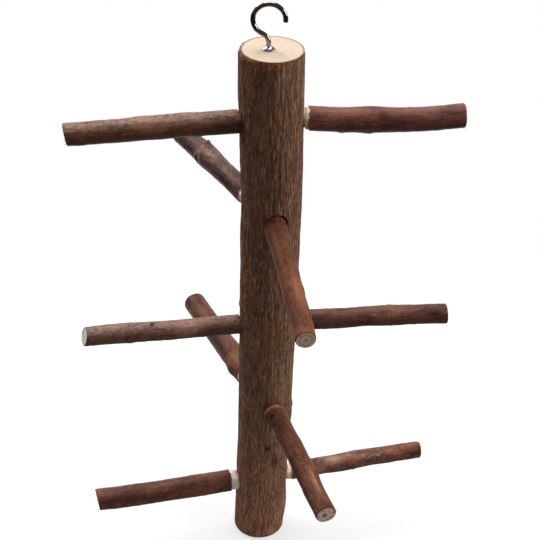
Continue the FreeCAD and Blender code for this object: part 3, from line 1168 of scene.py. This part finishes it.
@dataclass
class Collar:
    """Domed collar that the hook's shank goes through. Millimetres and degrees."""

    dia: float = 8.4
    height: float = 2.1
    dome: float = 6.3
    bore: float = 3.2
    edge: float = 0.18
    sides: int = 72
    steps: int = 14
    crease: float = 40.0

    def profile(self) -> list[tuple[float, float]]:
        """Outline from the bore's foot round to the bore's top.

        Returns:
            Radius and height of each corner.
        """
        rim, bore, edge = self.dia / 2, self.bore / 2, self.edge
        sunk = self.height - self.dome
        outline = [(bore, 0.0), (rim - edge, 0.0), (rim - edge * 0.3, edge * 0.3), (rim, edge)]
        shoulder = sunk + math.sqrt(self.dome ** 2 - rim ** 2)
        outline.append((rim, shoulder - edge * 0.6))
        for step in range(self.steps + 1):
            reach = rim - edge * 0.6 + (bore + edge - rim + edge * 0.6) * step / self.steps
            outline.append((reach, sunk + math.sqrt(self.dome ** 2 - reach ** 2)))
        outline.append((bore, self.height - edge))
        return outline

    def build(self, seat: Vector, material: bpy.types.Material) -> bpy.types.Object:
        """Make the collar.

        Args:
            seat: Middle of its foot, in metres.
            material: Finish of the collar.

        Returns:
            The finished object.
        """
        outline = self.profile()
        places, faces = [], []
        for side in range(self.sides):
            angle = TURN * side / self.sides
            for reach, height in outline:
                place = Vector((reach * math.cos(angle), reach * math.sin(angle), height)) * MM
                places.append(tuple(seat + place))
        count = len(outline)
        for side in range(self.sides):
            here, there = side * count, (side + 1) % self.sides * count
            for step in range(count):
                after = (step + 1) % count
                faces.append((here + step, there + step, there + after, here + after))
        mesh = bpy.data.meshes.new("collar")
        mesh.from_pydata(places, [], faces)
        mesh.polygons.foreach_set("use_smooth", [True] * len(faces))
        mesh.set_sharp_from_angle(angle=math.radians(self.crease))
        mesh.materials.append(material)
        return add_object("collar", mesh)


# Finishes


def new_material(name: str) -> tuple[bpy.types.Material, Graph, bpy.types.Node]:
    """Empty node material with its shader.

    Args:
        name: Name of the material.

    Returns:
        The material, its graph and its shader node.
    """
    material = bpy.data.materials.new(name)
    material.use_nodes = True
    graph = Graph(material.node_tree)
    return material, graph, graph.find("BSDF_PRINCIPLED")


def dress(g: Graph, shader: bpy.types.Node, colour: Signal, rough: Signal, height: Signal,
          strength: float, depth: float) -> None:
    """Link a finish to its shader.

    Args:
        g: Graph of the material.
        shader: The shader node.
        colour: Base colour.
        rough: Roughness.
        height: Height of the fine relief.
        strength: How much of the relief shows.
        depth: Depth of the relief in millimetres.
    """
    normal = g.output("ShaderNodeBump", {
        "Height": height, "Strength": strength, "Distance": depth * MM}, "Normal")
    for name, value in (("Base Color", colour), ("Roughness", rough), ("Normal", normal)):
        g.plug(value, shader.inputs[name])


@cache
def bark_grain() -> bpy.types.NodeTree:
    """Bark grain that runs along the first axis, built once for all bark.

    Returns:
        The group; it gives fibres, ribs, clouds, pores and their height.
    """
    names = ("Fibres", "Ribs", "Cloud", "Pores", "Height")
    g = Graph.group("bark_grain", TreeKind.SURFACE, [Port("Vector", PortKind.VECTOR)],
                    [Port(name) for name in names])
    place = g.take("Vector")
    warp = g.noise(place.stretch((0.6, 1, 1)), 170, 2)
    bent = place.shift(g.vector(0.0, warp * (1.2 * MM), warp * (-1.2 * MM)))
    fine = g.noise(bent.stretch((0.16, 1, 1)), 1400, 3, 0.65)
    wide = g.noise(bent.stretch((0.08, 1, 1)), 800, 3, 0.6)
    cloud = g.noise(place.stretch((0.5, 1, 1)), 95, 4, 0.6)
    dots = g.cells(place.stretch((1.5, 0.75, 0.75)), 620)
    few = g.noise(place, 330, 1).smooth(0.50, 0.62)
    pores = dots.smooth(0.30, 0.16) * few
    height = fine * 0.6 + wide * 0.9 + pores * 0.35
    for name, value in zip(names, (fine, wide, cloud, pores, height)):
        g.give(name, value)
    return g.tree


@cache
def sawn_grain() -> bpy.types.NodeTree:
    """Grain of cut wood with yearly rings round the first axis, built once for all cuts.

    Returns:
        The group; it gives rings, fibres, stains, height and the distance from the heart.
    """
    names = ("Rings", "Fibres", "Stains", "Height", "Away")
    g = Graph.group("cut_wood", TreeKind.SURFACE, [Port("Vector", PortKind.VECTOR), Port("Spacing")],
                    [Port(name) for name in names])
    place = g.take("Vector")
    _, y, z = place.parts()
    wander = g.noise(place, 260, 3, 0.6) - 0.5
    away = (y * y + z * z).root() + wander * (2.6 * MM)
    wave = (away / g.take("Spacing") * TURN).sin() * 0.5 + 0.5
    fibres = g.noise(place.stretch((0.08, 1, 1)), 1500, 2, 0.6)
    stains = g.noise(place, 420, 4, 0.7)
    saw = g.noise(g.vector(0.0, y * 0.12, z), 2200, 1)
    for name, value in zip(names, (wave ** 3.0, fibres, stains, fibres * 0.5 + saw * 0.8, away)):
        g.give(name, value)
    return g.tree


@dataclass(frozen=True)
class WoodTones:
    """Colours of cut wood; the reach of its heart and the spacing of its rings are in millimetres."""

    pale: Rgb = (254, 244, 230)
    ring: Rgb = (240, 218, 192)
    stain: Rgb = (216, 182, 142)
    heart: Rgb = (214, 182, 146)
    heart_reach: float = 1.0
    ring_depth: float = 0.35
    spacing: float = 1.5
    specked: float = 0.5


def cut_wood(g: Graph, place: Signal, tones: WoodTones) -> tuple[Signal, Signal]:
    """Colour and height of cut wood.

    Args:
        g: Graph of the material.
        place: Where the pattern is read, with the grain along the first axis.
        tones: Its colours.

    Returns:
        The colour and the height.
    """
    rings, fibres, stains, height, away = g.use(
        sawn_grain(), {"Vector": place, "Spacing": tones.spacing * MM})
    reach = tones.heart_reach * MM
    colour = g.coats(
        tones.pale,
        (rings * tones.ring_depth, tones.ring),
        (away.smooth(reach * 1.3, reach * 0.7), tones.heart),
        (fibres.smooth(0.5, 0.75) * 0.35, tones.ring),
        (stains.smooth(0.52, 0.66) * tones.specked, tones.stain))
    return colour, height


@dataclass(frozen=True)
class TwigFinish:
    """Young bark of one twig, with its own tones and its sawn end's; half its thickness in millimetres."""

    bark: Rgb
    shade: Rgb
    pale: Rgb
    light: float = 0.35
    pores: float = 0.4
    # Share and tone of a painted sheen, laid as pale flecks on the upper side.
    top_sheen: float = 0.0
    sheen_tone: Rgb = (196, 170, 156)
    gloss: float = 0.36
    matt: float = 0.78
    shine: float = 0.22
    neck: Rgb = (255, 232, 212)
    neck_low: Rgb = (246, 216, 160)
    peg: Rgb = (240, 214, 178)
    wood: WoodTones = WoodTones()
    half: float = 6.5

    def material(self, name: str, seed: float) -> bpy.types.Material:
        """Make the material.

        Args:
            name: Name of the material.
            seed: Which part of the grain this twig shows.

        Returns:
            The material; it reads the values that the twig's mesh carries.
        """
        material, g, shader = new_material(name)
        place = g.attribute("stick", "Vector")
        grown = place.shift((seed * 0.37, seed * 0.21, 0.0))
        cover, sawn, tint, relief, peg = (
            g.attribute(key) for key in ("cover", "sawn", "tint", "relief", "peg"))
        fibres, ribs, cloud, pores, height = g.use(bark_grain(), {"Vector": grown})
        specks = g.noise(grown.stretch((0.45, 1, 1)), 700, 3, 0.7)
        light = fibres.smooth(0.52, 0.72)
        up = place.parts()[2] / (self.half * MM)
        broken = cloud * 0.7 + light * 0.5
        bark = g.coats(
            self.bark,
            (cloud.smooth(0.58, 0.34) * 0.7, self.shade),
            (ribs.smooth(0.50, 0.36) * 0.5, self.shade),
            (specks.smooth(0.46, 0.34) * 0.5, self.shade),
            (light * specks.smooth(0.45, 0.6) * self.light * 1.4, self.pale),
            (pores * self.pores, self.pale),
            # Painted shade: darker in the hollows of the relief.
            (relief.smooth(0.05, -0.45) * 0.55, self.shade),
            # Painted shade: darker on the underside.
            (up.smooth(0.3, -0.9) * 0.45, self.shade),
            # Painted sheen: pale flecks on the upper side.
            (up.smooth(0.3, 1.0) * specks.smooth(0.3, 0.65) * self.top_sheen, self.sheen_tone),
            # Pale and dark marks: scars and stains, and on three twigs painted highlight and painted shade
            # strips.
            ((tint.above(0.0) * broken.smooth(0.15, 0.6)).clamp(), self.pale),
            ((tint * -1.0).clamp(), ink(self.shade)))
        wood, wood_height = cut_wood(g, place, self.wood)
        whittled = g.coats(self.neck, (up.smooth(0.75, 0.2), self.neck_low))
        turned = g.coats(self.peg, (specks.smooth(0.4, 0.65), self.wood.ring))
        bare = g.blend(sawn, g.blend(peg, whittled, turned), wood)
        colour = g.blend(cover, bare, bark)
        rough = g.blend(cover, self.matt, self.gloss + 0.2 * (1 - cloud) + 0.1 * light)
        shader.inputs["Specular IOR Level"].default_value = self.shine
        height = g.blend(cover, wood_height * 0.5, height)
        dress(g, shader, colour, rough, height, strength=0.55, depth=0.35)
        return material


@dataclass(frozen=True)
class LogFinish:
    """Old bark of the log, lighter towards its foot with painted bounce light, its chipped rim, its sawn
    ends, and the drilled wood in its sockets, painted dark as shade.
    """

    bark: Rgb = (148, 105, 78)
    shade: Rgb = (88, 59, 43)
    light: Rgb = (200, 160, 130)
    # Painted bounce light: tone that the log's lower part fades to.
    painted_bounce: Rgb = (178, 122, 94)
    net: Rgb = (168, 144, 96)
    under: Rgb = (176, 110, 66)
    # Drilled wood in the sockets, painted dark as the shade inside the holes.
    bore: Rgb = (90, 62, 43)
    top: float = 0.4
    gloss: float = 0.62
    matt: float = 0.8
    shine: float = 0.2
    wood: WoodTones = WoodTones(
        (216, 195, 174), (204, 180, 158), (182, 156, 130), (190, 164, 138), 1.5, spacing=2.2)

    def material(self, name: str) -> bpy.types.Material:
        """Make the material.

        Args:
            name: Name of the material.

        Returns:
            The material; it reads Object coordinates and the values that the log's mesh carries.
        """
        material, g, shader = new_material(name)
        place = g.output("ShaderNodeTexCoord", pick="Object")
        x, y, z = place.parts()
        lengthwise = g.vector(z, x, y)
        tint, chip, sawn, drilled, furrow = (
            g.attribute(key) for key in ("tint", "chip", "sawn", "drilled", "furrow"))
        fibres, ribs, cloud, pores, height = g.use(bark_grain(), {"Vector": lengthwise})
        patch = g.noise(lengthwise.stretch((0.25, 1, 1)), 170, 3, 0.6)
        meshes = g.cells(lengthwise.stretch((0.6, 1, 1)), 640, "DISTANCE_TO_EDGE").smooth(0.16, 0.03)
        under_rim = z.smooth(self.top - 0.5 * MM, self.top - 1.1 * MM)
        bark = g.coats(
            self.bark,
            # Painted bounce light: lighter and warmer towards the foot.
            (z.smooth(0.16, 0.02) * 0.85, self.painted_bounce),
            (cloud.smooth(0.56, 0.34) * 0.35, self.shade),
            (fibres.smooth(0.50, 0.62) * patch.smooth(0.34, 0.60) * 0.8, self.light),
            (fibres.smooth(0.47, 0.35) * 0.75, self.shade),
            (ribs.smooth(0.49, 0.37) * 0.55, self.shade),
            # Painted shade in the furrows.
            ((furrow * -1.0).smooth(0.50, 1.0) * 0.5, self.shade),
            (pores * 0.25, self.light),
            ((tint.above(0.0) * meshes).clamp(), self.net),
            ((tint * -1.0).clamp(), ink(self.shade)),
            ((1 - under_rim) * 0.7, self.shade))
        bared = g.coats(self.under, (g.noise(lengthwise, 420, 3).smooth(0.48, 0.70), self.shade))
        bark = g.blend(chip * 0.8 * under_rim, bark, bared)
        wood, wood_height = cut_wood(g, lengthwise, self.wood)
        # Painted shade: the drilled wood is dark.
        painted_bore_shade = g.coats(self.shade, (ribs, self.bore))
        colour = g.blend(drilled, g.blend(sawn, bark, wood), painted_bore_shade)
        cut = (sawn + drilled).clamp()
        rough = g.blend(cut, self.gloss + 0.25 * (1 - cloud), self.matt)
        shader.inputs["Specular IOR Level"].default_value = self.shine
        height = g.blend(cut, height + furrow * 0.8, wood_height * 0.4)
        dress(g, shader, colour, rough, height, strength=0.7, depth=0.5)
        return material


@dataclass(frozen=True)
class SteelFinish:
    """Bright plated steel with fine rubbing marks and a little tarnish."""

    metal: Rgb
    tarnish: Rgb
    smoothness: float = 0.14
    coat: float = 0.0

    def material(self, name: str) -> bpy.types.Material:
        """Make the material.

        Args:
            name: Name of the material.

        Returns:
            The material; it reads Object coordinates.
        """
        material, g, shader = new_material(name)
        place = g.output("ShaderNodeTexCoord", pick="Object")
        rub = g.noise(place.stretch((1, 1, 0.2)), 2600, 3, 0.6)
        cloud = g.noise(place, 240, 3, 0.6)
        for socket, value in (("Metallic", 1.0), ("Coat Weight", self.coat), ("Coat Roughness", 0.05)):
            shader.inputs[socket].default_value = value
        colour = g.coats(self.metal, (cloud.smooth(0.45, 0.75) * 0.7, self.tarnish))
        rough = self.smoothness + 0.12 * rub * cloud
        dress(g, shader, colour, rough, rub, strength=0.06, depth=0.1)
        return material


# The stage


@dataclass(frozen=True)
class Lamp:
    """Square soft lamp that points at the middle of the log. Metres and watts."""

    name: str
    place: tuple[float, float, float]
    size: float
    power: float
    aim: float = 0.2

    def build(self) -> None:
        """Make the lamp."""
        light = bpy.data.lights.new(self.name, "AREA")
        light.size = self.size
        light.energy = self.power
        lamp = add_object(self.name, light)
        lamp.location = self.place
        lamp.rotation_euler = (UP * self.aim - Vector(self.place)).to_track_quat("-Z", "Y").to_euler()


@dataclass
class Stage:
    """Floor, light and camera. Metres, degrees and pixels.

    The floor lights the object only where it is close. Far from the object it is plain white,
    and metal shows only the part of it that is behind the object.
    """

    eye: Vector = Vector((0.0027, -0.6602, 0.6986))
    down: float = 34.8
    roll: float = 1.83
    focal: float = 1196.0
    pixels: float = 540.0
    floor_size: float = 6.0
    glow: float = 0.60
    paper: float = 0.445
    fleck: float = 0.97
    bounce: float = 0.4
    sky: float = 0.42
    ceiling: float = 0.1
    dark: float = 0.03
    close: tuple[float, float] = (0.34, 0.12)
    far: tuple[float, float] = (0.22, 0.50)
    beside: tuple[float, float] = (0.6, 0.3)
    behind: tuple[float, float] = (0.08, 0.20)
    lamps: tuple[Lamp, ...] = (
        Lamp("top_light", (-0.05, 0.50, 1.35), 0.9, 12.0),
        Lamp("right_light", (1.15, -0.05, 0.60), 0.6, 6.5),
        Lamp("left_light", (-0.6, 0.50, 0.90), 0.35, 4.0),
    )

    def build(self) -> None:
        """Make the floor, the lamps, the world and the camera."""
        self.floor()
        for lamp in self.lamps:
            lamp.build()
        self.world()
        self.camera()
        bpy.context.scene.view_settings.view_transform = "Standard"

    @staticmethod
    def seen(g: Graph) -> tuple[Signal, Signal]:
        """Masks of rays straight from the camera, and of rays off metal or through glass.

        Args:
            g: Graph of the material or the world.

        Returns:
            The two masks.
        """
        path = g.node("ShaderNodeLightPath")
        camera, glossy, through = (Signal(g, path.outputs[key]) for key in (
            "Is Camera Ray", "Is Glossy Ray", "Is Transmission Ray"))
        return camera, glossy.above(through)

    def floor(self) -> None:
        """Pale paper sheet that keeps the object's shadow."""
        half = self.floor_size / 2
        mesh = bpy.data.meshes.new("paper_floor")
        corners = [(-half, -half, 0), (half, -half, 0), (half, half, 0), (-half, half, 0)]
        mesh.from_pydata(corners, [], [(0, 1, 2, 3)])
        sheet = add_object("paper_floor", mesh)
        material, g, shader = new_material("paper")
        g.tree.nodes.remove(shader)
        place = g.output("ShaderNodeTexCoord", pick="Object")
        shown = g.blend(g.noise(place, 60, 2), grey(self.paper), grey(self.paper * self.fleck))
        x, y, _ = place.parts()
        away = (x * x + y * y).root()
        close, far = away.smooth(*self.close), away.smooth(*self.far)
        lit = g.blend(close, grey(self.dark), grey(self.bounce))
        soft = g.output("ShaderNodeBsdfDiffuse", {"Color": lit})
        matte = g.output("ShaderNodeBsdfDiffuse", {"Color": g.blend(far, shown, grey(0.0))})
        white = g.output("ShaderNodeEmission", {
            "Color": grey(1.0), "Strength": g.blend(far, self.glow, 1.0)})
        bright = g.output("ShaderNodeAddShader", {0: matte, 1: white})
        camera, mirrored = self.seen(g)
        nearby = x.size().smooth(*self.beside) * y.smooth(*self.behind)
        both = g.output("ShaderNodeMixShader", {0: camera.above(mirrored * nearby), 1: soft, 2: bright})
        g.plug(both, g.find("OUTPUT_MATERIAL").inputs["Surface"])
        mesh.materials.append(material)

    def world(self) -> None:
        """Sky that lights from overhead; the camera sees white, and metal shows a dark room."""
        world = bpy.data.worlds.new("studio")
        bpy.context.scene.world = world
        world.use_nodes = True
        g = Graph(world.node_tree)
        backdrop = g.find("BACKGROUND")
        _, back, up = g.output("ShaderNodeTexCoord", pick="Generated").parts()
        overhead, window = up.smooth(-0.3, 0.9), up.smooth(0.5, 0.2) * back.smooth(0.3, 0.7)
        light = g.blend(overhead, self.sky * 0.2, self.sky)
        room = g.blend(window, self.ceiling, 1.0)
        camera, mirrored = self.seen(g)
        g.plug(grey(1.0), backdrop.inputs["Color"])
        g.plug(g.blend(camera, g.blend(mirrored, light, room), 1.0), backdrop.inputs["Strength"])

    def camera(self) -> None:
        """Camera at the photograph's place."""
        down, roll = math.radians(self.down), math.radians(self.roll)
        ahead = Vector((0, math.cos(down), -math.sin(down)))
        level = Vector((0, math.sin(down), math.cos(down)))
        across = Vector((1, 0, 0))
        right = across * math.cos(roll) + level * math.sin(roll)
        upward = level * math.cos(roll) - across * math.sin(roll)
        data = bpy.data.cameras.new("camera")
        data.sensor_fit = "HORIZONTAL"
        data.sensor_width = 36.0
        data.lens = self.focal * data.sensor_width / self.pixels
        data.clip_start = 0.01
        camera = add_object("camera", data)
        turn = Matrix((right, upward, -ahead)).transposed().to_4x4()
        camera.matrix_world = Matrix.Translation(self.eye) @ turn
        bpy.context.scene.camera = camera


# The object


LOG_MARKS = (
    Mark(0.950, 185, 1.1, 24.0, 0.0, 1.4),
    Mark(0.740, 185, -0.9, 16.0, 0.0, 1.3),
    Mark(0.060, 0, 1.3, 14.0),
    Mark(0.290, 355, 0.8, 10.0),
    Mark(0.312, 352, 0.8, 2.6, 0.2),
    Mark(0.234, 279, -0.4, 1.9, -1.3),
    Mark(0.198, 299, -0.5, 4.6, -0.7),
    Mark(0.205, 299, 0.5, 6.0),
    Mark(0.710, 214, 0.15, 2.0, 0.6, 1.6),
    Mark(0.800, 289, 0.15, 1.6, 0.7, 0.6),
    Mark(0.535, 192, 0.9, 3.0, 0.6),
    Mark(0.140, 8, 0.9, 3.0, 0.8),
    Mark(0.380, 305, 0.0, 9.0, 0.75, 2.0),
    Mark(0.330, 120, 0.7, 4.0, 0.2),
    Mark(0.600, 60, 0.8, 5.0, -0.3, 1.5),
    Mark(0.400, 90, -0.6, 2.5, -0.8),
    Mark(0.850, 110, 0.5, 4.0, 0.3),
    Mark(0.620, 150, 0.4, 3.0, 0.5, 1.5),
    *(Mark(0.742 + 0.026 * math.sin(math.radians(step)), 281 + 11.5 * math.cos(math.radians(step)),
           -0.2, 1.1, -0.5) for step in range(10, 180, 20)),
    Mark(0.750, 281, 0.35, 4.0, 0.12),
)

PINK_ENDS = WoodTones((255, 226, 210), (214, 160, 138), (96, 62, 52), (206, 150, 130), 1.2, 0.5, 2.4, 0.9)
GREEN_ENDS = WoodTones((255, 232, 206), (206, 134, 102), (150, 96, 72), (232, 196, 136), 1.6, 0.75, 3.8)
WHITE_ENDS = WoodTones((255, 252, 248), (255, 240, 228), (240, 222, 204), (240, 222, 204))
HIDDEN_NECK: dict[str, Rgb] = {"neck": (104, 74, 58), "neck_low": (104, 74, 58)}

TWIGS = (
    Twig("top_left", Level.TOP, 107.0, 1.0, 15.0, 15.0, 14.2, 0.50, 0.3,
         TwigFinish((122, 76, 56), (60, 33, 26), (180, 132, 98), 0.5, 0.5, 0.35, **HIDDEN_NECK),
         (Ring(0.59, 0.45), Ring(0.30, 0.15)),
         (Mark(0.55, 50, 0.1, 5.0, 0.7, 1.6), Mark(0.93, 120, 0.4, 2.5, -0.3), Mark(0.24, 160, 0.5, 3.0),
          Mark(0.876, 0, 0.5, 1.2, -0.7), Mark(0.25, 55, 0.0, 3.0, 0.4, 7.0)), saw_up=1.2, seed=1.0),
    Twig("top_right", Level.TOP, 101.1, 2.5, 15.6, 16.6, 15.4, 0.39, -2.0,
         TwigFinish((138, 84, 71), (72, 39, 33), (178, 128, 108)), (Ring(0.40, 0.2), Ring(0.66, 0.15)),
         (Mark(0.21, 190, 0.9, 2.5, -0.2), Mark(0.38, 195, 0.9, 3.2, -0.2), Mark(0.45, 175, 0.6, 2.5),
          Mark(0.72, -60, 0.3, 3.0, 0.3, 1.5)), ragged=0.9, fibres=5, droop=0.0, saw_up=-0.4, seed=2.0),
    Twig("upper_back", Level.UPPER_BACK, 109.4, 12.0, 14.8, 16.8, 15.2, 0.60, 0.4,
         TwigFinish((94, 59, 50), (42, 25, 21), (196, 156, 130), 0.4, 0.4, neck_low=(255, 226, 206)),
         (Ring(0.62, 0.4), Ring(0.30, 0.1)),
         (Mark(0.62, -10, 3.0, 1.9, 0.4), Mark(0.60, 30, 0.5, 1.6, 0.8, 0.8), Mark(0.585, 55, 0.3, 1.2, 0.9),
          Mark(0.57, 75, 0.2, 1.2, 0.9), Mark(0.555, 95, 0.2, 1.2, 0.8), Mark(0.615, 62, 0.2, 1.1, 0.8),
          Mark(0.63, 80, 0.2, 1.1, 0.7), Mark(0.50, 5, 0.6, 5.0, 0.6, 1.6)),
         wrinkle=0.42, lumps=0.7, seed=3.0),
    Twig("upper_front", Level.UPPER_FRONT, 117.3, -2.4, 14.0, 12.9, 12.0, 0.63, 0.3,
         TwigFinish((128, 76, 50), (72, 39, 27), (176, 120, 86), 0.35, 0.3, shine=0.08, wood=GREEN_ENDS),
         (Ring(0.63, 0.1), Ring(0.25, 0.05)),
         # Painted highlight and shade: the pale strip at 15 degrees and the dark strips at 75 and -62
         # degrees.
         (Mark(0.62, 15, 0.0, 3.5, 0.45, 9.0), Mark(0.08, -88, 0.8, 12.0), Mark(0.62, 85, 0.4, 5.0),
          Mark(0.45, 75, 0.0, 2.6, -0.3, 18.0), Mark(0.5, -62, 0.0, 2.0, -0.25, 22.0)),
         lumps=0.4, wrinkle=0.14, fibres=0, droop=0.0, seed=4.0),
    Twig("middle_left", Level.MIDDLE, 106.6, 0.6, 13.6, 14.0, 13.2, 0.75, -0.6,
         TwigFinish((128, 85, 68), (66, 42, 34), (192, 144, 124), 0.5, 0.5, 0.35, wood=WHITE_ENDS,
                    **HIDDEN_NECK),
         (Ring(0.71, 0.15), Ring(0.78, 0.1)),
         (Mark(0.565, 8, 0.8, 1.6, -1.0), Mark(0.31, 62, 0.0, 5.0, 1.2, 1.8), Mark(0.70, 170, 0.9, 2.6),
          *(Mark(0.755, turn, 0.1, 1.1, 0.7, 0.5) for turn in (15, 40, 65, 90)),
          Mark(0.24, 130, 0.4, 2.0, 0.4)),
         fibres=8, saw_up=-1.8, saw_side=-1.2, seed=5.0),
    Twig("middle_right", Level.MIDDLE, 107.0, 0.8, 14.1, 14.8, 14.0, 0.62, 0.4,
         TwigFinish((114, 70, 58), (54, 32, 26), (172, 114, 82), 0.4, **HIDDEN_NECK),
         (Ring(0.62, 0.2), Ring(0.88, 0.2)),
         (Mark(0.63, -60, 0.2, 5.0, 0.7, 1.4), Mark(0.49, -50, -0.1, 0.8, 1.0, 4.0),
          Mark(0.51, -75, -0.1, 0.8, 0.9, 4.0), Mark(0.9, -60, -0.4, 1.6, -0.4, 3.0)), saw_up=-0.3, seed=6.0),
    Twig("lower_back", Level.LOWER_BACK, 112.3, 12.0, 16.8, 17.6, 16.9, 0.25, 0.3,
         TwigFinish((116, 68, 48), (56, 32, 24), (172, 122, 86)), (Ring(0.25, 0.15), Ring(0.6, 0.15)),
         # Painted shade: the long dark strip at -60 degrees.
         (Mark(0.12, 108, 1.3, 5.0, -0.3), Mark(0.15, 60, 0.2, 7.0, 0.5), Mark(0.97, 40, 0.2, 4.0, -0.4),
          Mark(0.55, -60, 0.0, 2.4, -0.4, 20.0)), fibres=6, droop=0.0, seed=7.0),
    Twig("lower_front", Level.LOWER_FRONT, 106.1, 0.8, 13.6, 14.6, 13.8, 0.65, 0.3,
         TwigFinish((120, 74, 52), (54, 31, 23), (228, 158, 126), 0.25, 0.25, shine=0.1, wood=PINK_ENDS,
                    **HIDDEN_NECK),
         (Ring(0.65, 0.35), Ring(0.3, 0.05)),
         # Painted highlight: the four pale marks on the root's shoulder and the pale streak at 0.78; painted
         # shade: the dark strip at -75 degrees. The pale tone is also the colour of these painted highlights.
         (Mark(0.105, -48, -0.2, 1.3, -1.3), Mark(0.66, 65, 0.8, 3.0), Mark(0.04, -88, 2.0, 8.0),
          *(Mark(0.04, turn, 0.3, 2.6, 1.0, 0.7) for turn in (-80, -45, -10, 25)),
          Mark(0.5, -75, 0.0, 2.4, -0.4, 22.0), Mark(0.78, 8, 0.0, 1.4, 0.7, 9.0)),
         fibres=2, droop=0.0, seed=8.0),
    Twig("bottom_left", Level.BOTTOM, 105.4, 4.7, 16.4, 16.9, 16.2, 0.27, -0.9,
         TwigFinish((130, 77, 58), (64, 35, 27), (176, 120, 92), neck=(255, 232, 222),
                    neck_low=(255, 226, 214)),
         (Ring(0.27, 0.15), Ring(0.7, 0.15)),
         (Mark(0.2, 0, 0.7, 2.0), Mark(0.29, 25, 0.8, 2.4), Mark(0.85, 180, 0.7, 2.2),
          Mark(0.7, 185, 0.8, 2.2)),
         ragged=0.8, fibres=9, saw_up=0.8, saw_side=-0.6, seed=9.0),
    Twig("bottom_right", Level.BOTTOM, 109.0, 3.5, 13.4, 14.0, 13.1, 0.47, 0.3,
         TwigFinish((132, 78, 58), (60, 31, 23), (226, 190, 166), 0.3, 0.4),
         (Ring(0.47, 0.3), Ring(0.75, 0.1)),
         (Mark(0.12, -50, 0.2, 5.0, -0.3, 1.8), Mark(0.30, -15, 0.2, 5.0, 0.6, 1.6),
          Mark(0.44, 0, 0.8, 2.2, 0.4), Mark(0.5, 25, 0.6, 2.0, 0.3), Mark(0.21, -70, 0.0, 4.0, 0.4),
          Mark(0.62, -35, 0.0, 2.5, 0.5, 5.0)),
         fibres=8, seed=10.0),
)


def joint_axis(perch: str) -> Vector:
    """Direction in which a perch is pulled out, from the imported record."""
    joint = next(joint for joint in frame["joints"] if joint["child"] == f"{perch}_perch")
    return Vector(joint["axis"]).normalized()


def drilled_sockets(trunk: Trunk, hook: Hook) -> list[Socket]:
    """Holes of the log.

    Args:
        trunk: The log.
        hook: The hook, for its place.

    Returns:
        One socket for each perch, the worn mouth of the upper front one, and the hook's hole.
    """
    overrun = 8 * MM

    def hole(foot: Vector, axis: Vector, dia: float, depth: float) -> Socket:
        """Hole from its foot outwards; its diameter and depth are in millimetres."""
        return Socket(foot, axis, dia / 2 * MM, depth * MM + overrun)
    holes = []
    for twig in TWIGS:
        axis, level = joint_axis(twig.name), twig.level.value
        centre, surface = trunk.centre(level), trunk.radius(level)
        foot = centre + axis * (surface - trunk.socket_depth * MM)
        holes.append(hole(foot, axis, trunk.socket_dia, trunk.socket_depth))
        if twig.level is Level.UPPER_FRONT:
            aside, upward = trunk.worn_shift
            shift = axis.cross(-UP) * aside * MM + Vector((0, 0, upward * MM))
            foot = centre + axis * (surface - trunk.worn_depth * MM) + shift
            holes.append(hole(foot, axis, trunk.worn_dia, trunk.worn_depth))
    foot = Vector((hook.offset, 0, trunk.length - trunk.pilot_depth)) * MM
    return holes + [hole(foot, UP, trunk.pilot_dia, trunk.pilot_depth)]


def main() -> None:
    """Build the log, the hook and the perches, then the stage."""
    logging.basicConfig(level=logging.INFO, format="%(message)s")
    trunk, hook, collar = Trunk(marks=LOG_MARKS), Hook(), Collar()
    top = trunk.length * MM
    log = trunk.build(drilled_sockets(trunk, hook), LogFinish().material("log_bark"))
    hand_over(log, "trunk", "trunk")
    dark_steel = SteelFinish((150, 144, 140), (104, 94, 88), 0.08, 0.5).material("hook_plating")
    hand_over(hook.build(top, dark_steel), "hook", "hook")
    bright_steel = SteelFinish((206, 206, 208), (150, 144, 138), 0.2).material("collar_plating")
    seat = Vector((hook.offset * MM, 0, top))
    hand_over(collar.build(seat, bright_steel), "hook_collar", "hook_collar")
    twig_tree = Twig.tree()
    for twig in TWIGS:
        piece = twig.build(trunk, joint_axis(twig.name), twig_tree)
        hand_over(piece, f"{twig.name}_perch", f"{twig.name}_perch")
    Stage().build()


if __name__ == "__main__":
    main()
